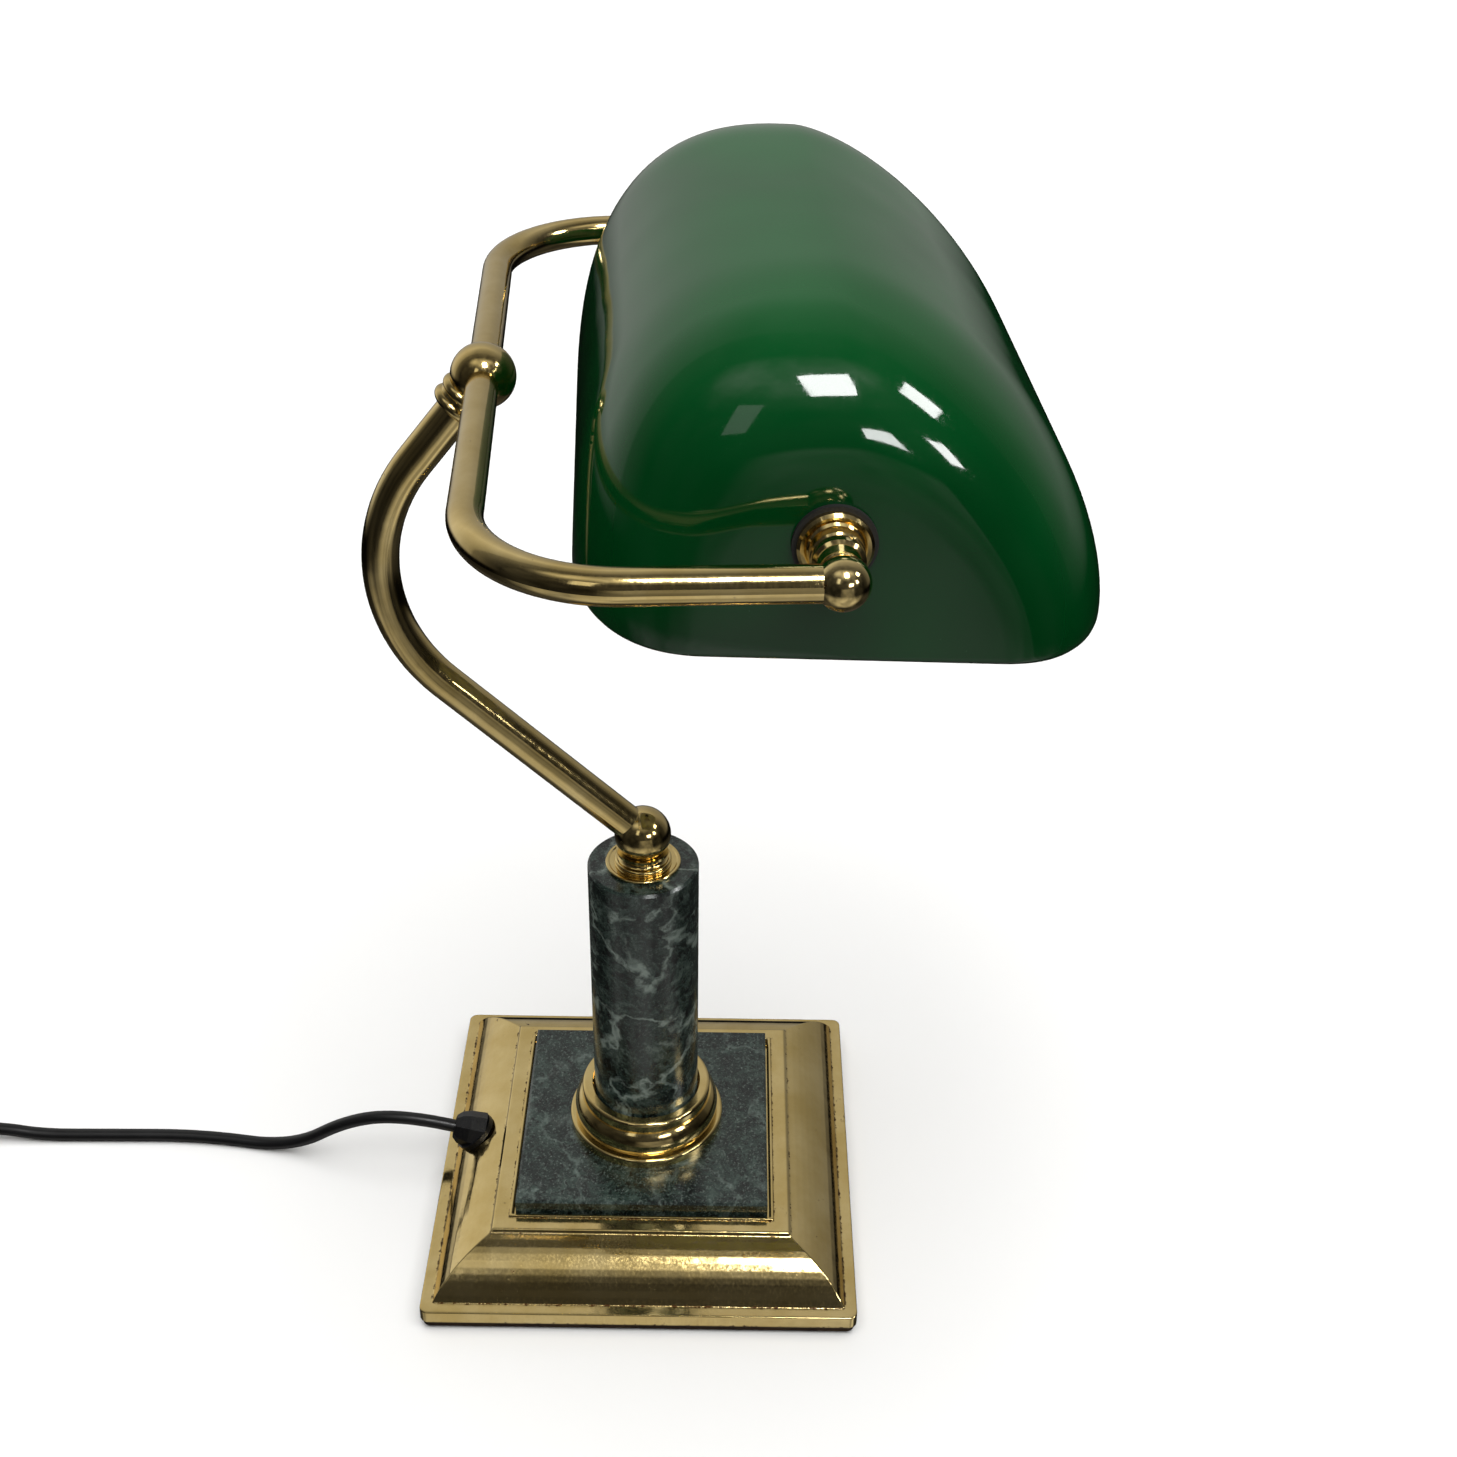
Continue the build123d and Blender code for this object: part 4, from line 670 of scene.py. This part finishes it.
def room():
    """What polished faces mirror: a bright wall beyond the lamp, a dim ceiling, a dark side with a door."""
    world = bpy.data.worlds.new("room")
    bpy.context.scene.world = world
    world.use_nodes = True
    tree = world.node_tree
    tree.nodes.clear()
    way = add(tree, "ShaderNodeTexCoord").outputs["Generated"]
    parts = add(tree, "ShaderNodeSeparateXYZ", {0: way})
    half = [add(tree, "ShaderNodeMapRange", {0: part, 1: -1.0, 2: 1.0}).outputs[0] for part in parts.outputs]
    # the bright wall, from just under the horizon to where the ceiling starts
    far = add(tree, "ShaderNodeValToRGB", {"Fac": half[0]},
              ramp=[(0.40, 0.0), (0.605, 0.14), (0.615, 0.26), (0.82, 0.62), (0.95, 0.42), (1.0, 0.36)])
    side = add(tree, "ShaderNodeValToRGB", {"Fac": half[1]},
               ramp=[(0.05, 0.30), (0.20, 0.55), (0.50, 1.0), (0.90, 1.25)])
    height = add(tree, "ShaderNodeValToRGB", {"Fac": half[2]},
                 ramp=[(0.36, 0.0), (0.44, 0.9), (0.52, 1.0), (0.86, 0.95), (0.97, 0.5)])
    wall = add(tree, "ShaderNodeMath", {0: far.outputs[0], 1: side.outputs[0]}, operation="MULTIPLY")
    lit = add(tree, "ShaderNodeMath", {0: wall.outputs[0], 1: height.outputs[0]}, operation="MULTIPLY")
    # the table under the lamp, a dark room, and the ceiling, brightest overhead
    level = add(tree, "ShaderNodeValToRGB", {"Fac": half[2]},
                ramp=[(0.08, 0.40), (0.20, 0.26), (0.29, 0.02), (0.52, 0.02), (0.80, 0.06), (0.87, 0.20),
                      (0.91, 0.50), (0.96, 0.68)])
    # doors and shelves: soft shapes that break up the dark side
    things = add(tree, "ShaderNodeTexNoise", {"Vector": way, "Scale": 2.6, "Detail": 3.0})
    broken = add(tree, "ShaderNodeMapRange", {0: things.outputs[0], 1: 0.40, 2: 0.62, 3: 0.65, 4: 1.45})
    rest = add(tree, "ShaderNodeMath", {0: level.outputs[0], 1: broken.outputs[0]}, operation="MULTIPLY")
    # straight overhead the ceiling is in shade, up to the edge where the bright wall starts
    shade = add(tree, "ShaderNodeMapRange", {0: half[0], 1: 0.36, 2: 0.46, 3: 1.0, 4: 0.12})
    dim = add(tree, "ShaderNodeMath", {0: rest.outputs[0], 1: shade.outputs[0]}, operation="MULTIPLY")
    both = add(tree, "ShaderNodeMath", {0: lit.outputs[0], 1: dim.outputs[0]}, operation="ADD")
    # a lit door on the right of the dark side: each edge fades between two places and two strengths
    sides = [(half[0], 0.30, 0.36, 1.0, 0.0), (half[1], 0.185, 0.195, 0.0, 1.0),
             (half[1], 0.48, 0.62, 1.0, 0.0), (half[2], 0.30, 0.52, 0.7, 1.0),
             (half[2], 0.53, 0.56, 1.0, 0.0)]
    door = broken.outputs[0]
    for socket, start, end, low, high in sides:
        part = add(tree, "ShaderNodeMapRange", {0: socket, 1: start, 2: end, 3: low, 4: high})
        door = add(tree, "ShaderNodeMath", {0: door, 1: part.outputs[0]}, operation="MULTIPLY").outputs[0]
    both = add(tree, "ShaderNodeMath", {0: door, 1: 0.22, 2: both.outputs[0]}, operation="MULTIPLY_ADD")
    tint = add(tree, "ShaderNodeMix", {0: 1.0, 6: both.outputs[0], 7: linear("#fffdf9")},
               data_type="RGBA", blend_type="MULTIPLY")
    # straight behind the lamp the eye sees a plain pale backdrop
    seen = add(tree, "ShaderNodeLightPath")
    shown = add(tree, "ShaderNodeMix", {0: seen.outputs["Is Camera Ray"], 6: tint.outputs[2],
                                        7: linear("#f7f7f6")}, data_type="RGBA")
    glow = add(tree, "ShaderNodeBackground", {"Color": shown.outputs[2], "Strength": 1.0})
    add(tree, "ShaderNodeOutputWorld", {"Surface": glow.outputs[0]})


def studio():
    """A pale floor under wide soft light. The floor keeps out of polished faces, which mirror the room."""
    reach = 40.0
    floor = bpy.data.meshes.new("floor")
    corners = [(-reach, -reach, 0), (reach, -reach, 0), (reach, reach, 0), (-reach, reach, 0)]
    floor.from_pydata(corners, [], [(0, 1, 2, 3)])
    ground = bpy.data.objects.new("floor", floor)
    bpy.context.scene.collection.objects.link(ground)
    material, tree = new_material("floor_paper_white")
    shader = add(tree, "ShaderNodeBsdfPrincipled", {"Base Color": linear("#f6f6f5"), "Roughness": 1.0,
                                                    "Specular IOR Level": 0.0})
    finish_material(tree, shader)
    floor.materials.append(material)
    ground.visible_glossy = False
    ground.visible_diffuse = False
    room()
    overhead("overhead", tilt=(8, -10, 0), strength=3.3, angle=70)
    panel("ceiling_light_1", (-1.06, -0.37, 2.1), (-0.097, -0.053, 0.38), (0.50, 0.62), 22)
    panel("ceiling_light_2", (-0.27, -1.6, 1.66), (-0.095, -0.075, 0.376), (0.38, 0.40), 20)
    panel("window_1", (-1.76, -0.99, 1.03), (-0.103, -0.066, 0.37), (0.50, 0.28), 16)
    panel("window_2", (-1.08, -1.66, 1.12), (-0.10, -0.082, 0.364), (0.26, 0.30), 20)
    panel("window_3", (-1.60, 0.66, 1.50), (-0.102, -0.031, 0.373), (0.42, 0.70), 0.9)


# ---- build ----
camera()
cords(moulded("pvc_cord_black", "#0d0d0e", "#161617", 0.8, 0.28, 0.42, 0.15))

brass = polished_brass("brass_polished", pitting=0.60)
glass_shade(green_glass(), opal_glass())
base_cover(polished_brass("brass_pressed_worn", pitting=0.9, creased=True))
dress(brass, "column_collar", "column_cap", "neck_spool", "lower_ball", "arm_tube", "arm_ring", "upper_ball",
      "yoke_tube_left", "yoke_tube_right", "end_ball_left", "end_ball_right", "end_spool_left",
      "end_spool_right", "cup_washers", "terminal_barrels", "holder_contact", "switch_contacts")
dress(green_marble("marble_green_speckled", ("#0a110f", "#1a2521", "#2f3d37", "#52615a"), grain=2.6,
                   veining=0.16, flecking=0.60), "marble_plinth")
dress(green_marble("marble_green_veined", ("#0b1210", "#22302b", "#42524b", "#7a8982"), grain=4.4,
                   veining=0.9, flecking=0.45), "marble_column")
dress(plain_metal("steel_zinc_plated", "#a9abad", "#c6c8ca", 0.6, 0.22, 0.38), "plate_screws", "centre_rod",
      "rod_washer", "rod_nut", "swivel_stem", "swivel_clip", "yoke_stem", "yoke_clip", "end_stud_left",
      "end_stud_right", "stud_nuts", "inner_washers", "switch_screws")
dress(plain_metal("steel_blackened", "#2a211b", "#4a3a2c", 1.5, 0.35, 0.6), "base_plate")
dress(plain_metal("iron_cast", "#2b2a29", "#3d3c3a", 1.2, 0.6, 0.8), "base_weight")
dress(plain_metal("aluminium_bright", "#cfd0d1", "#e0e1e2", 0.7, 0.18, 0.3), "bulb_cap", "holder_liner")
dress(plain_metal("brass_nickel_plated", "#c9c5bb", "#dcd9d0", 0.5, 0.12, 0.25), "plug_pins")
dress(felt(), "felt_pad")
dress(frosted_glass(), "bulb_glass")
dress(moulded("bakelite_black", "#0b0b0c", "#141415", 0.5, 0.22, 0.34, 0.1), "holder_cap", "holder_shell")
dress(moulded("nylon_black", "#0c0c0d", "#151516", 0.5, 0.25, 0.4, 0.2), "cord_bushing", "coil_tie")
dress(moulded("abs_black_grained", "#101011", "#19191a", 0.6, 0.38, 0.55, 0.35), "switch_base",
      "switch_cover", "plug_body")
dress(moulded("abs_black_gloss", "#0e0e0f", "#141415", 0.6, 0.18, 0.28, 0.1), "switch_rocker")
dress(moulded("rubber_black", "#131312", "#1e1e1d", 0.7, 0.6, 0.8, 0.3), "outer_gaskets", "inner_gaskets")
dress(moulded("nylon_white", "#dedbd0", "#ebe8de", 0.6, 0.35, 0.5, 0.15), "terminal_block")
dress(moulded("porcelain_unglazed", "#e2ddd0", "#efebdf", 0.4, 0.5, 0.7, 0.2), "holder_insert")
dress(moulded("pvc_lead_brown", "#2a1a12", "#3a251a", 0.5, 0.35, 0.5, 0.1), "lead_in_base", "lead_in_arm",
      "lead_in_yoke")
studio()
bpy.context.scene.view_settings.view_transform = "Standard"
